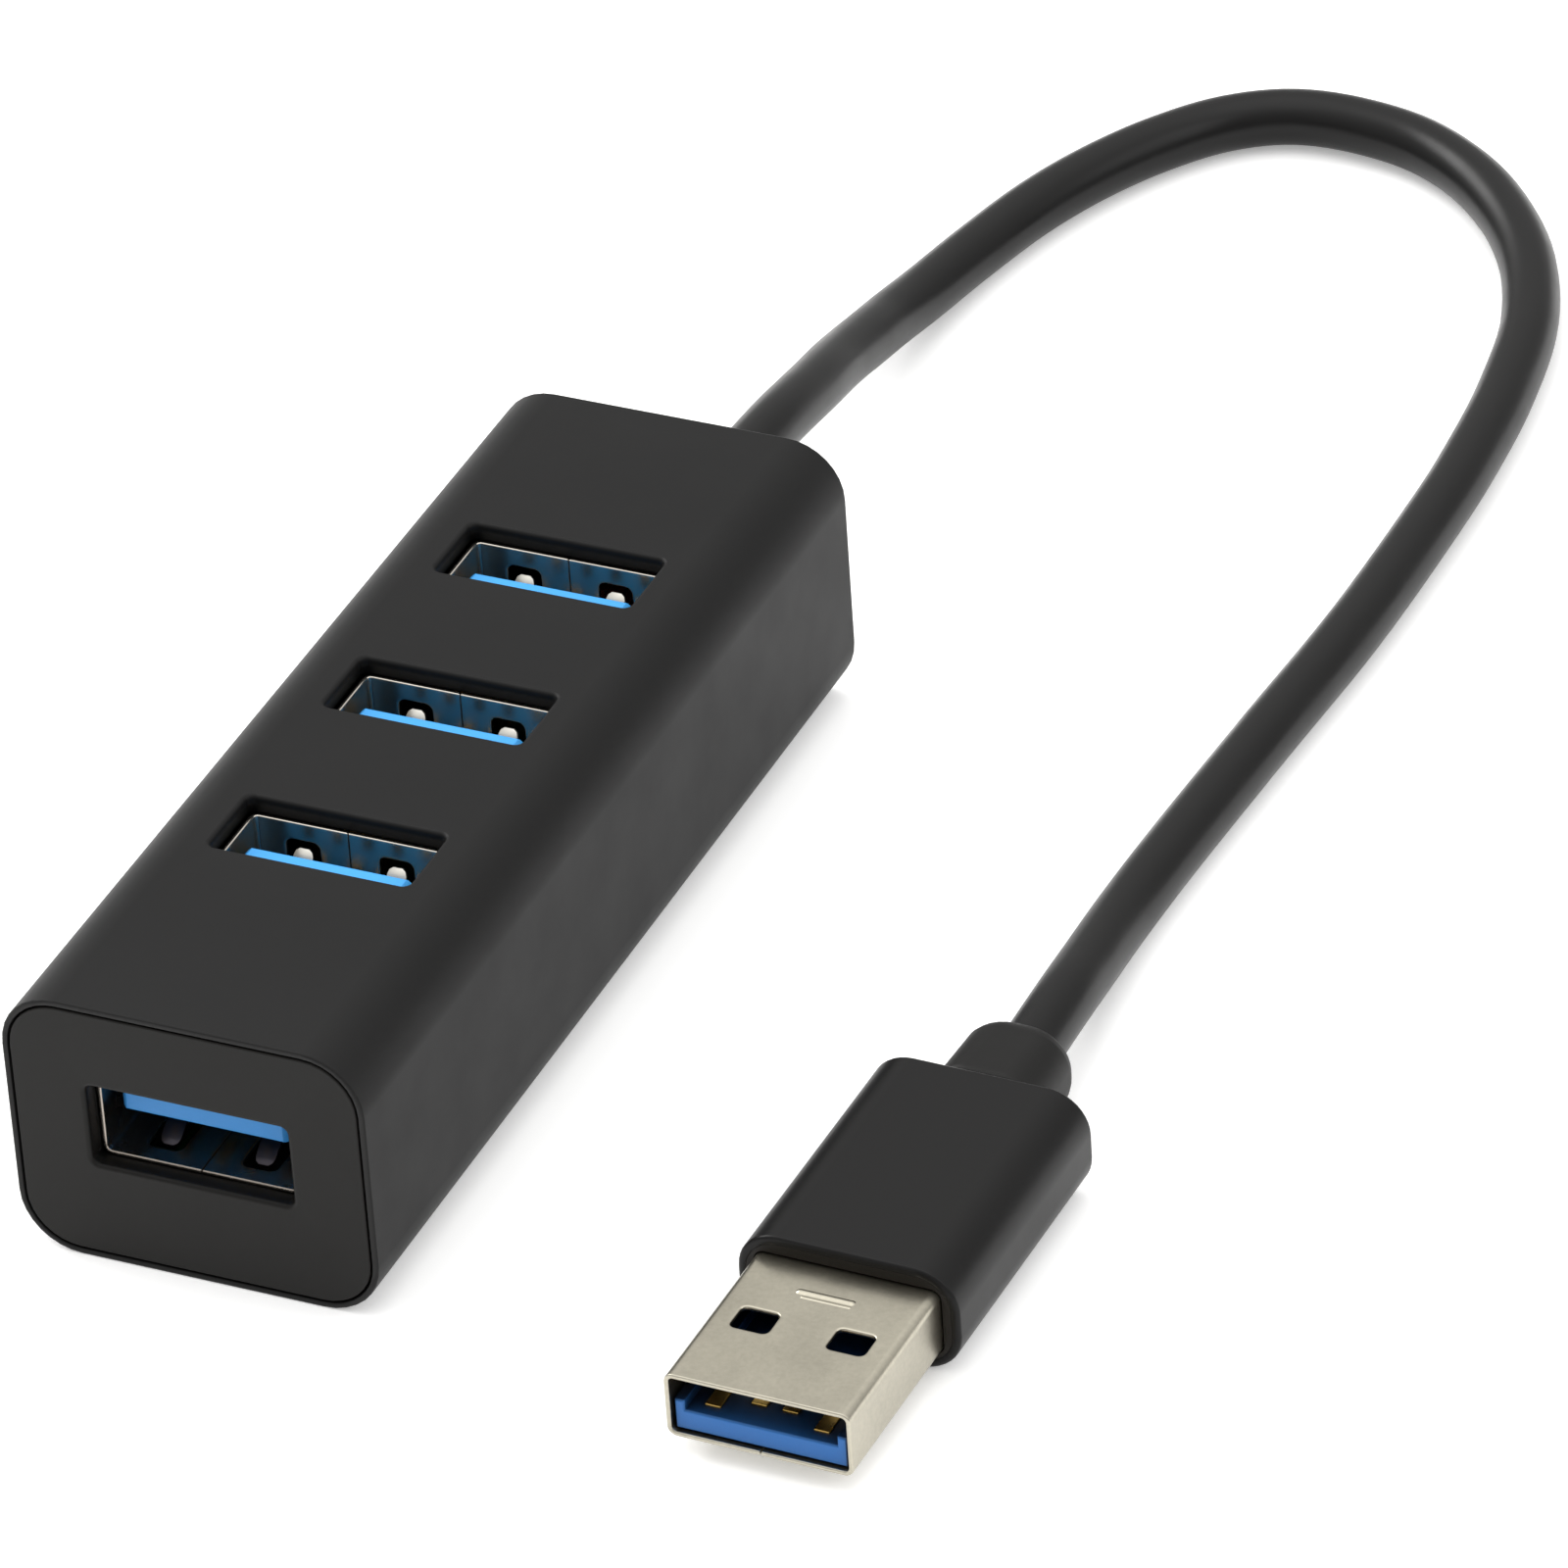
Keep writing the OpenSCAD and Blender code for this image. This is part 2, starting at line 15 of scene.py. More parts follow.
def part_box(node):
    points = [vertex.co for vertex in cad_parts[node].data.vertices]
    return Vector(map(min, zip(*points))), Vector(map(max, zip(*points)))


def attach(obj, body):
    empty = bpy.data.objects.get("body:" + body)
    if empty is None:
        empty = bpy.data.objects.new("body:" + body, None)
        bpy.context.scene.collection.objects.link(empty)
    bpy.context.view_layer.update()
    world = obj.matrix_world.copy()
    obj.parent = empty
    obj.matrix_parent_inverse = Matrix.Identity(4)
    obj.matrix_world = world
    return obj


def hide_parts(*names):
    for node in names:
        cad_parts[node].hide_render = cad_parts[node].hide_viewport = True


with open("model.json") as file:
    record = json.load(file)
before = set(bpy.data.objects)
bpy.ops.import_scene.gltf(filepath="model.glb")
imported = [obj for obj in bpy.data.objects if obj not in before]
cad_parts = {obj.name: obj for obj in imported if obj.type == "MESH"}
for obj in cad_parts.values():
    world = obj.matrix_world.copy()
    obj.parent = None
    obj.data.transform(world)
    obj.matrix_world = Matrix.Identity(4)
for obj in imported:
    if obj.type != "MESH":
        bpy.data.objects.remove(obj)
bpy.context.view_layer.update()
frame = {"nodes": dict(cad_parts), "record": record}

MM = 0.001

# ------------------------------------------------------------------ sizes, in millimetres
# Hub body and its end caps
body_lo, body_hi = (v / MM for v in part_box("body_shell"))
HUB_W = body_hi.x - body_lo.x
HUB_H = body_hi.z - body_lo.z
FRONT_Y = body_lo.y
BACK_Y = body_hi.y
CORNER_R = 3.9
WALL = 1.2
RIM = 0.4
RIM_DEPTH = 0.8
CAP_DEPTH = 2.3
CAP_GAP = 0.12
FIT_GAP = 0.1
SLOT_W = 13.4
SLOT_H = 5.7
SLOT_R = 0.5
SLOT_FILLET = 0.32
PORT_PITCH = 16.0
# Ports: the inside of a shell, its sheet, and the tongue, whose tip is measured from the mouth
USB_W = 12.5
USB_H = 5.12
SHEET_T = 0.3
TONGUE_W = 11.1
TONGUE_T = 1.84
TOP_TONGUE_TIP = -0.45
END_TONGUE_TIP = -0.95
CHAMFER = 0.35
CONTACT_CHAMFER = 0.12
# Cable and plug: the metal shell and how far it shows, the blue block in it, the sleeve and strain relief
CORD_D = 3.9
PLUG_TIP = Vector((39.42, -41.67, 3.6))
PLUG_TURN = math.radians(-1)
METAL_W = 12.0
METAL_H = 4.5
METAL_T = 0.32
METAL_R = 0.62
PLUG_REACH = 12.7
METAL_HIDDEN = 7.5
BLOCK_TOP = -0.42
SLEEVE_W = 14.4
SLEEVE_H = 7.2
SLEEVE_R = 2.8
SLEEVE_T = 0.55
SLEEVE_L = 19.5
SLEEVE_BACK = PLUG_REACH + SLEEVE_L
RELIEF_L = 7.1
RELIEF_X = -0.25
RELIEF_END = SLEEVE_BACK + RELIEF_L
# Contacts of a port and of the plug
POWER_XS = (-3.5, -1.0, 1.0, 3.5)
FAST_XS = (-4.0, -2.0, 0.0, 2.0, 4.0)
FAST_W = 0.7
TAIL_L = 1.4
# Half the gap where the two edges of a folded sheet meet
SEAM = 0.02
# A port's spring fingers, and the windows in its top wall that they work in
FINGER_X = 3.15
FINGER_W = 1.35
FINGER_T = 0.25
FINGER_TIP = 0.7
FINGER_LINE = [(2.71, -7.95), (2.71, -7.2), (1.98, -3.9), (1.93, -3.5), (2.05, -3.1), (2.85, -1.95)]
WINDOW_W = 2.3
WINDOW_R = 0.5
WINDOW_MOUTH = 1.25
WINDOW_DEEP = 8.0

TOP_PORTS = ("top_port_1", "top_port_2", "top_port_3")


def middle(node):
    """Middle of a CAD node's box, in millimetres."""
    lo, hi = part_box(node)
    return (lo + hi) / 2 / MM


PORT_YS = [middle(name + "_shell").y for name in TOP_PORTS]
MOUTH_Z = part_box("top_port_1_shell")[1].z / MM
MOUTH_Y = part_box("end_port_shell")[0].y / MM
END_PORT_Z = middle("end_port_shell").z
PORT_DEPTH = MOUTH_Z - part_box("main_board")[1].z / MM

# Local frames: a port's mouth is at its origin and faces +Z, with its tongue on the -Y side.
# The plug's tip is at its origin, with the cable along +Y.
PORT_FRAMES = {name: Matrix.Translation((0, y, MOUTH_Z)) for name, y in zip(TOP_PORTS, PORT_YS)}
PORT_FRAMES["end_port"] = (
    Matrix.Translation((0, MOUTH_Y, END_PORT_Z))
    @ Matrix.Rotation(math.radians(90), 4, "X")
    @ Matrix.Rotation(math.radians(180), 4, "Z")
)
PLUG_FRAME = Matrix.Translation(PLUG_TIP) @ Matrix.Rotation(PLUG_TURN, 4, "Z")
WORLD = Matrix.Identity(4)

# ------------------------------------------------------------------ camera, at the photograph's angle
CAM_TARGET = Vector((12.548, 25.782, 0))
CAM_AZ = math.radians(25.952)
CAM_EL = math.radians(34.05)
CAM_ROLL = math.radians(-3.947)
CAM_DISTANCE = 730.5
CAM_SENSOR = 36.0
CAM_LENS = 264.2
CAM_SHIFT = (-0.01366, -0.00626)


def make_camera():
    back = Vector((
        math.sin(CAM_AZ) * math.cos(CAM_EL),
        -math.cos(CAM_AZ) * math.cos(CAM_EL),
        math.sin(CAM_EL),
    ))
    level = Vector((0, 0, 1)).cross(back).normalized()
    upright = back.cross(level)
    right = math.cos(CAM_ROLL) * level + math.sin(CAM_ROLL) * upright
    up = -math.sin(CAM_ROLL) * level + math.cos(CAM_ROLL) * upright
    data = bpy.data.cameras.new("camera")
    data.sensor_width = CAM_SENSOR
    data.lens = CAM_LENS
    data.shift_x, data.shift_y = CAM_SHIFT
    data.clip_start = 0.01
    data.clip_end = 20
    camera = bpy.data.objects.new("camera", data)
    turn = Matrix((right, up, back)).transposed().to_4x4()
    camera.matrix_world = Matrix.Translation((CAM_TARGET + CAM_DISTANCE * back) * MM) @ turn
    bpy.context.scene.collection.objects.link(camera)
    bpy.context.scene.camera = camera


make_camera()

# ------------------------------------------------------------------ materials


def node(tree, kind, **values):
    """Adds a shader node and sets its properties, or its sockets where no property has that name."""
    made = tree.nodes.new(kind)
    for key, value in values.items():
        if hasattr(made, key):
            setattr(made, key, value)
        else:
            made.inputs[key.replace("_", " ")].default_value = value
    return made


def noise(tree, coords, size, detail):
    """Grey noise whose grains are about size millimetres across."""
    made = node(tree, "ShaderNodeTexNoise", Scale=1 / (size * MM), Detail=detail, Roughness=0.55)
    tree.links.new(coords, made.inputs["Vector"])
    return made.outputs["Fac"]


def ramp(tree, value, lo, hi, out_lo, out_hi):
    """Maps the range from lo to hi onto the range from out_lo to out_hi, and stops at its ends."""
    made = node(tree, "ShaderNodeMapRange")
    made.inputs["From Min"].default_value = lo
    made.inputs["From Max"].default_value = hi
    made.inputs["To Min"].default_value = out_lo
    made.inputs["To Max"].default_value = out_hi
    tree.links.new(value, made.inputs["Value"])
    return made.outputs["Result"]


def blend_colour(tree, factor, a, b):
    """Mixes two colours by a 0 to 1 factor; a colour is a tuple or a socket."""
    made = node(tree, "ShaderNodeMix", data_type="RGBA")
    tree.links.new(factor, made.inputs["Factor"])
    for socket, colour in ((made.inputs[6], a), (made.inputs[7], b)):
        if isinstance(colour, tuple):
            socket.default_value = (*colour, 1)
        else:
            tree.links.new(colour, socket)
    return made.outputs[2]


def scaled(colour, k):
    return tuple(min(1.0, c * k) for c in colour)


# Size in mm of the broad mottling, and the values that nearly all of a noise lies between
MOTTLE_SIZE = 6.0
NOISE_LO = 0.3
NOISE_HI = 0.7
# Pointiness at which an edge starts to look worn, and at which it is fully worn
WEAR_START = 0.52
WEAR_FULL = 0.62
# Openness at which the painted shade in narrow places is full, and at which there is none
FULL_SHADE_OPENNESS = 0.3
NO_SHADE_OPENNESS = 0.9


def material(name, colour, rough, metallic=0.0, specular=0.5, coat=0.0, grain=0.15, bump=0.4, depth=0.012,
             mottle=0.12, rough_swing=0.08, wear=None, wear_colour=None, streak=None, painted_shade=None):
    """A surface with fine grain, broad mottling, uneven roughness, worn edges, and painted shade in narrow
    places if asked.

    grain is the grain's size in mm and depth its height in mm. wear is how much edges change towards
    wear_colour, or towards a brighter shade of the colour. streak stretches the grain along one axis, as
    (x, y, z) factors. The last argument paints shade into narrow places found by ambient occlusion: it
    gives the painted shade's colour, with the distance in mm at which they stop being narrow.
    """
    made = bpy.data.materials.new(name)
    made.use_nodes = True
    tree = made.node_tree
    shader = tree.nodes["Principled BSDF"]
    coords = node(tree, "ShaderNodeTexCoord").outputs["Object"]
    if streak:
        mapping = node(tree, "ShaderNodeMapping")
        mapping.inputs["Scale"].default_value = streak
        tree.links.new(coords, mapping.inputs["Vector"])
        coords = mapping.outputs["Vector"]
    fine = noise(tree, coords, grain, detail=2.0)
    broad = noise(tree, coords, MOTTLE_SIZE, detail=4.0)

    base = blend_colour(tree, broad, scaled(colour, 1 - mottle), scaled(colour, 1 + mottle))
    speck = ramp(tree, fine, NOISE_LO, NOISE_HI, 0, 1)
    specked = blend_colour(tree, broad, scaled(colour, 1 - mottle / 2), scaled(colour, 1 + 1.6 * mottle))
    base = blend_colour(tree, speck, base, specked)
    if wear:
        edge = node(tree, "ShaderNodeNewGeometry").outputs["Pointiness"]
        edge = ramp(tree, edge, WEAR_START, WEAR_FULL, 0, wear)
        base = blend_colour(tree, edge, base, wear_colour or scaled(colour, 2.5))
    # Painted shade: the colour turns to the shade colour where ambient occlusion finds narrow places
    if painted_shade:
        dark, reach = painted_shade
        openness = node(tree, "ShaderNodeAmbientOcclusion", samples=8)
        openness.inputs["Distance"].default_value = reach * MM
        shallow = ramp(tree, openness.outputs["AO"], FULL_SHADE_OPENNESS, NO_SHADE_OPENNESS, 0, 1)
        base = blend_colour(tree, shallow, dark, base)
    tree.links.new(base, shader.inputs["Base Color"])

    uneven = ramp(tree, broad, NOISE_LO, NOISE_HI, rough - rough_swing, rough + rough_swing)
    tree.links.new(uneven, shader.inputs["Roughness"])
    shader.inputs["Metallic"].default_value = metallic
    shader.inputs["Specular IOR Level"].default_value = specular
    shader.inputs["Coat Weight"].default_value = coat

    relief = node(tree, "ShaderNodeBump", Strength=bump)
    relief.inputs["Distance"].default_value = depth * MM
    tree.links.new(fine, relief.inputs["Height"])
    tree.links.new(relief.outputs["Normal"], shader.inputs["Normal"])
    return made


# What the finishes of one family share
ANODISED = dict(grain=0.09, bump=0.45, depth=0.006, mottle=0.05, rough_swing=0.03, wear=0.25,
                wear_colour=(0.03, 0.0295, 0.029))
PORT_METAL = dict(metallic=1.0, grain=0.25, bump=0.15, depth=0.003, mottle=0.04, rough_swing=0.03)
SPRING_METAL = dict(metallic=1.0, grain=0.2, bump=0.2, depth=0.003, mottle=0.04, rough_swing=0.04)
BLUE_PLASTIC = dict(rough=0.4, grain=0.2, bump=0.25, depth=0.006)
MOULDED = dict(grain=0.14, bump=0.4, depth=0.008, mottle=0.05, rough_swing=0.05)

FINISHES = {
    "body_aluminium": dict(ANODISED, colour=(0.0062, 0.0061, 0.0062), rough=0.5, specular=0.18),
    "sleeve_aluminium": dict(ANODISED, colour=(0.0030, 0.0028, 0.0029), rough=0.36, specular=0.19),
    "cap_plastic": dict(
        colour=(0.0070, 0.0066, 0.0060), rough=0.42, specular=0.17, grain=0.14, bump=0.35, depth=0.005,
        mottle=0.05, rough_swing=0.04, wear=0.3),
    "tray_plastic": dict(colour=(0.02, 0.02, 0.021), rough=0.55, grain=0.2),
    "board_green": dict(colour=(0.01, 0.12, 0.04), rough=0.35, grain=0.5, coat=0.4),
    "chip_black": dict(colour=(0.018, 0.018, 0.02), rough=0.6, grain=0.08),
    "crystal_can": dict(colour=(0.6, 0.6, 0.57), rough=0.3, metallic=1.0, streak=(1, 0.1, 1)),
    "capacitor_amber": dict(colour=(0.6, 0.32, 0.06), rough=0.4, grain=0.2),
    "ceramic_tan": dict(colour=(0.42, 0.32, 0.2), rough=0.5, grain=0.1),
    "fuse_green": dict(colour=(0.03, 0.16, 0.08), rough=0.5, grain=0.1),
    "nickel": dict(
        colour=(0.40, 0.375, 0.305), rough=0.3, metallic=1.0, grain=0.3, bump=0.7, depth=0.006,
        mottle=0.22, rough_swing=0.03, wear=0.4, wear_colour=(0.72, 0.69, 0.60)),
    "port_nickel": dict(PORT_METAL, colour=(0.60, 0.56, 0.50), rough=0.24),
    # Darker copy of port_nickel for the front port's shell: painted shade, since that port gets less light
    "front_port_nickel_shaded": dict(PORT_METAL, colour=(0.36, 0.32, 0.28), rough=0.27),
    "spring_nickel": dict(SPRING_METAL, colour=(0.70, 0.68, 0.62), rough=0.32),
    # Near-black copy of spring_nickel for the front port's fingers: painted shade inside that port
    "front_spring_nickel_shaded": dict(SPRING_METAL, colour=(0.065, 0.06, 0.07), rough=0.35),
    "port_blue": dict(BLUE_PLASTIC, colour=(0.05, 0.36, 0.82), mottle=0.05),
    # Darker copy of port_blue for the front port's tongue: painted shade, since that port gets less light
    "front_port_blue_shaded": dict(BLUE_PLASTIC, colour=(0.026, 0.22, 0.56), specular=0.4, mottle=0.05),
    # The plug block's blue gets painted shade in narrow places, which darkens its top under the shell and
    # what shows through the windows
    "plug_blue": dict(
        BLUE_PLASTIC, colour=(0.019, 0.13, 0.40), specular=0.3, mottle=0.06,
        painted_shade=((0.002, 0.005, 0.016), 4.0)),
    "contact_gold": dict(
        colour=(0.85, 0.56, 0.16), rough=0.25, metallic=1.0, grain=0.15, bump=0.2, depth=0.003,
        mottle=0.05),
    "wire_insulation": dict(colour=(0.4, 0.04, 0.03), rough=0.4, grain=0.2),
    "cable_jacket": dict(
        colour=(0.0052, 0.0050, 0.0050), rough=0.33, specular=0.22, grain=0.12, bump=0.5, depth=0.008,
        mottle=0.06, rough_swing=0.05),
    "moulded_black": dict(MOULDED, colour=(0.0058, 0.0055, 0.0052), rough=0.5, specular=0.22, wear=0.3),
    "core_black": dict(MOULDED, colour=(0.011, 0.009, 0.007), rough=0.6, specular=0.25),
}
MATERIALS = {name: material(name, **look) for name, look in FINISHES.items()}

for row in frame["record"]["subparts"]:
    shape = frame["nodes"][row["node"]].data
    shape.materials.clear()
    shape.materials.append(MATERIALS[row["material_slot"]])

# ------------------------------------------------------------------ outlines and mesh building


def rounded_rect(w, h, r, n=6):
    """Points round a rectangle with round corners, anticlockwise from its lower right corner.

    Each corner has n + 1 points.
    """
    r = max(r, 0.0)
    points = []
    for cx, cy, start in ((1, -1, -90), (1, 1, 0), (-1, 1, 90), (-1, -1, 180)):
        for k in range(n + 1):
            a = math.radians(start + 90 * k / n)
            points.append((cx * (w / 2 - r) + r * math.cos(a), cy * (h / 2 - r) + r * math.sin(a)))
    return points


def circle(r, n):
    return [(r * math.cos(2 * math.pi * k / n), r * math.sin(2 * math.pi * k / n)) for k in range(n)]


# Width of the flat frame round a punched hole
HOLE_FRAME = 0.22


class Shape:
    """Collects the points and faces of one piece, in millimetres in its own frame."""

    def __init__(self):
        self.points = []
        self.faces = []

    def add(self, points):
        start = len(self.points)
        self.points.extend(points)
        return list(range(start, len(self.points)))

    def strip(self, a, b, closed=True, skip=()):
        """Faces between two rows of points; skip holds the edges left open."""
        count = len(a) if closed else len(a) - 1
        for k in range(count):
            if k not in skip:
                j = (k + 1) % len(a)
                self.faces.append((a[k], a[j], b[j], b[k]))

    def cap(self, ring):
        self.faces.append(tuple(ring))

    def framed_hole(self, corners, outline, lift):
        """Flat wall between four corner points and a hole, with a narrow flat frame next to the hole.

        outline(grow) gives the hole's points, moved outwards by grow.
        lift turns one of them into a 3-D point.
        """
        hole = self.add([lift(q) for q in outline(0.0)])
        frame_ring = self.add([lift(q) for q in outline(HOLE_FRAME)])
        self.strip(hole, frame_ring)
        self.quarters(corners, frame_ring)
        return hole

    def quarters(self, outer, inner):
        """Four flat faces between two rings of four corners each, split at the middles of the corners."""
        a, b = len(outer) // 4, len(inner) // 4
        for c in range(4):
            i = [(c * a + a // 2 + k) % len(outer) for k in range(a + 1)]
            j = [(c * b + b // 2 + k) % len(inner) for k in range(b + 1)]
            self.faces.append(tuple([outer[k] for k in i] + [inner[k] for k in reversed(j)]))

    def loft(self, rings, first_cap=False, last_cap=False, ring_loop=False):
        """Skin over a row of rings; ring_loop joins the last ring to the first."""
        rows = [self.add(r) for r in rings]
        for a, b in zip(rows, rows[1:]):
            self.strip(a, b)
        if ring_loop:
            self.strip(rows[-1], rows[0])
        if first_cap:
            self.cap(rows[0])
        if last_cap:
            self.cap(rows[-1])
        return rows

    def box(self, lo, hi):
        (x0, y0, z0), (x1, y1, z1) = lo, hi
        low = self.add([(x0, y0, z0), (x1, y0, z0), (x1, y1, z0), (x0, y1, z0)])
        high = self.add([(x0, y0, z1), (x1, y0, z1), (x1, y1, z1), (x0, y1, z1)])
        self.strip(low, high)
        self.cap(low)
        self.cap(high)


# Edges that turn by more than this are bevelled
SHARP = math.radians(35)
# How much more large faces than small ones count in the shading; 50 is even
FACE_WEIGHT = 60


def piece(name, shape, place, finish, body, stands_for, bevel=0.0, segments=2):
    """Makes the shape an object in the shared frame that rides a body and replaces the CAD nodes stands_for.

    Its sharp edges are bevelled and it is shaded smooth.
    """
    mesh = bpy.data.meshes.new(name)
    mesh.from_pydata([place @ Vector(p) * MM for p in shape.points], [], shape.faces)
    work = bmesh.new()
    work.from_mesh(mesh)
    bmesh.ops.recalc_face_normals(work, faces=work.faces)
    work.to_mesh(mesh)
    work.free()
    obj = bpy.data.objects.new(name, mesh)
    bpy.context.scene.collection.objects.link(obj)
    if bevel:
        edge = obj.modifiers.new("edge", "BEVEL")
        edge.width = bevel * MM
        edge.segments = segments
        edge.limit_method = "ANGLE"
        edge.angle_limit = SHARP
        edge.use_clamp_overlap = False
        edge.miter_outer = "MITER_ARC"
    for poly in mesh.polygons:
        poly.use_smooth = True
    weigh = obj.modifiers.new("normals", "WEIGHTED_NORMAL")
    weigh.keep_sharp = True
    weigh.weight = FACE_WEIGHT
    bpy.context.view_layer.update()
    graph = bpy.context.evaluated_depsgraph_get()
    final = bpy.data.meshes.new_from_object(
        obj.evaluated_get(graph), preserve_all_data_layers=True, depsgraph=graph)
    obj.modifiers.clear()
    obj.data = final
    final.name = name
    bpy.data.meshes.remove(mesh)
    final.materials.clear()
    final.materials.append(MATERIALS[finish])
    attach(obj, body)
    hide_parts(*stands_for)
    return obj


HUB = "hub"

# ------------------------------------------------------------------ cable, on the CAD route


def plug_at(along):
    """A point on the line of the strain relief and the cable's end."""
    return PLUG_FRAME @ Vector((RELIEF_X, along, 0))


GROMMET_Z = HUB_H / 2
GROMMET_NOSE = 3.0
CORD_ROUTE = [
    (0, BACK_Y + GROMMET_NOSE, GROMMET_Z), (0, 44, 9.2), (-0.2, 51, 8.5), (-0.7, 58, 7),
    (-1.3, 63.5, 5.6), (-1.6, 68.5, 4.3), (-1.8, 73, 3.2), (-1.5, 78, 2.4), (-0.6, 84.5, 2),
    (1, 91, 2), (3.1, 96.5, 2), (5.9, 101.5, 2), (9.3, 105.5, 2), (13.5, 107.8, 2),
    (18.6, 108, 2), (24, 106.5, 2), (29.6, 102.5, 2), (34.7, 96, 2), (38.1, 88, 2),
    (39.7, 79.5, 2), (40.4, 72, 2), (40.7, 64, 2), (40.6, 50, 2), (39.8, 36.5, 2),
    (39.1, 23.5, 2), (38.9, 15.2, 2.1), (39.3, 8.5, 2.8), (39.65, 3.6, 3.4),
    tuple(plug_at(RELIEF_END)),
]
CORD_STEPS = 6
# How far each end of the cable runs on inside the grommet and the strain relief
CORD_TUCK = 1.0


def curve_at(p, i, t):
    """Point of a Catmull-Rom curve through the points p, at t from 0 to 1 between point i and the next."""
    a, b, c, d = p[max(i - 1, 0)], p[i], p[i + 1], p[min(i + 2, len(p) - 1)]
    square = 2 * a - 5 * b + 4 * c - d
    cube = 3 * b - a - 3 * c + d
    return 0.5 * (2 * b + (c - a) * t + square * t * t + cube * t ** 3)


def curve_through(points, steps):
    """Points of a smooth curve through the given ones, with steps of them to each stretch."""
    p = [Vector(q) for q in points]
    return [curve_at(p, i, k / steps) for i in range(len(p) - 1) for k in range(steps)] + [p[-1]]


def make_cable():
    """The cable as a round curve object, and its length between its two ends in millimetres."""
    line = curve_through(CORD_ROUTE, CORD_STEPS)
    length = sum((b - a).length for a, b in zip(line, line[1:]))
    line.insert(0, line[0] - Vector((0, CORD_TUCK, 0)))
    line.append(Vector(plug_at(RELIEF_END - CORD_TUCK)))
    data = bpy.data.curves.new("cable_cord", "CURVE")
    data.dimensions = "3D"
    data.bevel_depth = CORD_D / 2 * MM
    data.bevel_resolution = 8
    data.use_fill_caps = True
    spline = data.splines.new("POLY")
    spline.points.add(len(line) - 1)
    for point, q in zip(spline.points, line):
        point.co = (*(q * MM), 1)
    spline.use_smooth = True
    obj = bpy.data.objects.new("cable_cord", data)
    bpy.context.scene.collection.objects.link(obj)
    data.materials.append(MATERIALS["cable_jacket"])
    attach(obj, HUB)
    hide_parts("cable")
    return obj, length


cable, cable_length = make_cable()

# ------------------------------------------------------------------ hub body


HUB_CORNER_STEPS = 8


def hub_ring(y, inset):
    """The tube's outline at y, drawn in by inset."""
    outline = rounded_rect(HUB_W - 2 * inset, HUB_H - 2 * inset, CORNER_R - inset, HUB_CORNER_STEPS)
    return [(x, y, HUB_H / 2 + z) for x, z in outline]


def edge_steps(edge):
    """(along, inset) pairs that round the edge between an end face and the side next to it."""
    return [(0, edge), (0.3 * edge, 0.3 * edge), (edge, 0)]


def flat_ring(w, h, r, z, cy):
    """A rounded rectangle lying at height z, centred on y = cy."""
    return [(x, cy + y, z) for x, y in rounded_rect(w, h, r)]


def fillet_steps(radius, count=4):
    """(outward, down) pairs of a quarter round that leads from a flat face into a hole."""
    for k in range(count + 1):
        a = math.radians(90 * k / count)
        yield radius * (1 - math.sin(a)), radius * (1 - math.cos(a))


def make_body_shell():
    """Tube with a rebate for a cap at each end and a slot for each top port."""
    shape = Shape()
    rim_edge = 0.13
    lip_edge = 0.06
    # the flat top lies between the two upper corners' round parts
    top_edge = 2 * (HUB_CORNER_STEPS + 1) - 1
    half = PORT_PITCH / 2
    levels = [PORT_YS[0] - half] + [y + half for y in PORT_YS]
    rebate = [(0, RIM - lip_edge), (lip_edge, RIM), (RIM_DEPTH, RIM), (RIM_DEPTH, WALL)]

    # (y, inset) of every row: forwards on the outside from the front, then back through the inside
    outer = [(FRONT_Y + d, inset) for d, inset in edge_steps(rim_edge)]
    outer += [(y, 0) for y in levels]
    outer += [(BACK_Y - d, inset) for d, inset in reversed(edge_steps(rim_edge))]
    inner = [(BACK_Y - d, inset) for d, inset in rebate]
    inner += [(y, WALL) for y in reversed(levels)]
    inner += [(FRONT_Y + d, inset) for d, inset in reversed(rebate)]
    rows = [shape.add(hub_ring(y, inset)) for y, inset in outer + inner]

    def cut_panel(row_a, row_b, port_y):
        """Leaves the top open between two rows; returns its corner points in the order of a slot's ring."""
        shape.strip(row_a, row_b, skip=(top_edge,))
        right_a, left_a = row_a[top_edge], row_a[(top_edge + 1) % len(row_a)]
        right_b, left_b = row_b[top_edge], row_b[(top_edge + 1) % len(row_b)]
        front = (right_a, left_a) if shape.points[right_a][1] < port_y else (right_b, left_b)
        back = (right_b, left_b) if front[0] == right_a else (right_a, left_a)
        return [front[0], back[0], back[1], front[1]]

    # which port and which skin each open stretch of the top belongs to
    ports = range(len(PORT_YS))
    first_outer = len(edge_steps(rim_edge))
    first_inner = len(outer) + len(rebate)
    openings = {first_outer + port: (port, "outer") for port in ports}
    openings.update({first_inner + k: (port, "inner") for k, port in enumerate(reversed(ports))})
    panels = {}
    for i, (row, next_row) in enumerate(zip(rows, rows[1:] + rows[:1])):
        if i in openings:
            port, skin = openings[i]
            panels[port, skin] = cut_panel(row, next_row, PORT_YS[port])
        else:
            shape.strip(row, next_row)
    for port, y in enumerate(PORT_YS):
        slot = [flat_ring(SLOT_W + 2 * o, SLOT_H + 2 * o, SLOT_R + o, HUB_H - d, y)
                for o, d in fillet_steps(SLOT_FILLET)]
        slot.append(flat_ring(SLOT_W, SLOT_H, SLOT_R, HUB_H - WALL, y))
        rings = shape.loft(slot)
        shape.quarters(panels[port, "outer"], rings[0])
        shape.quarters(panels[port, "inner"], rings[-1])
    return piece("hub_tube", shape, WORLD, "body_aluminium", HUB, ["body_shell"])


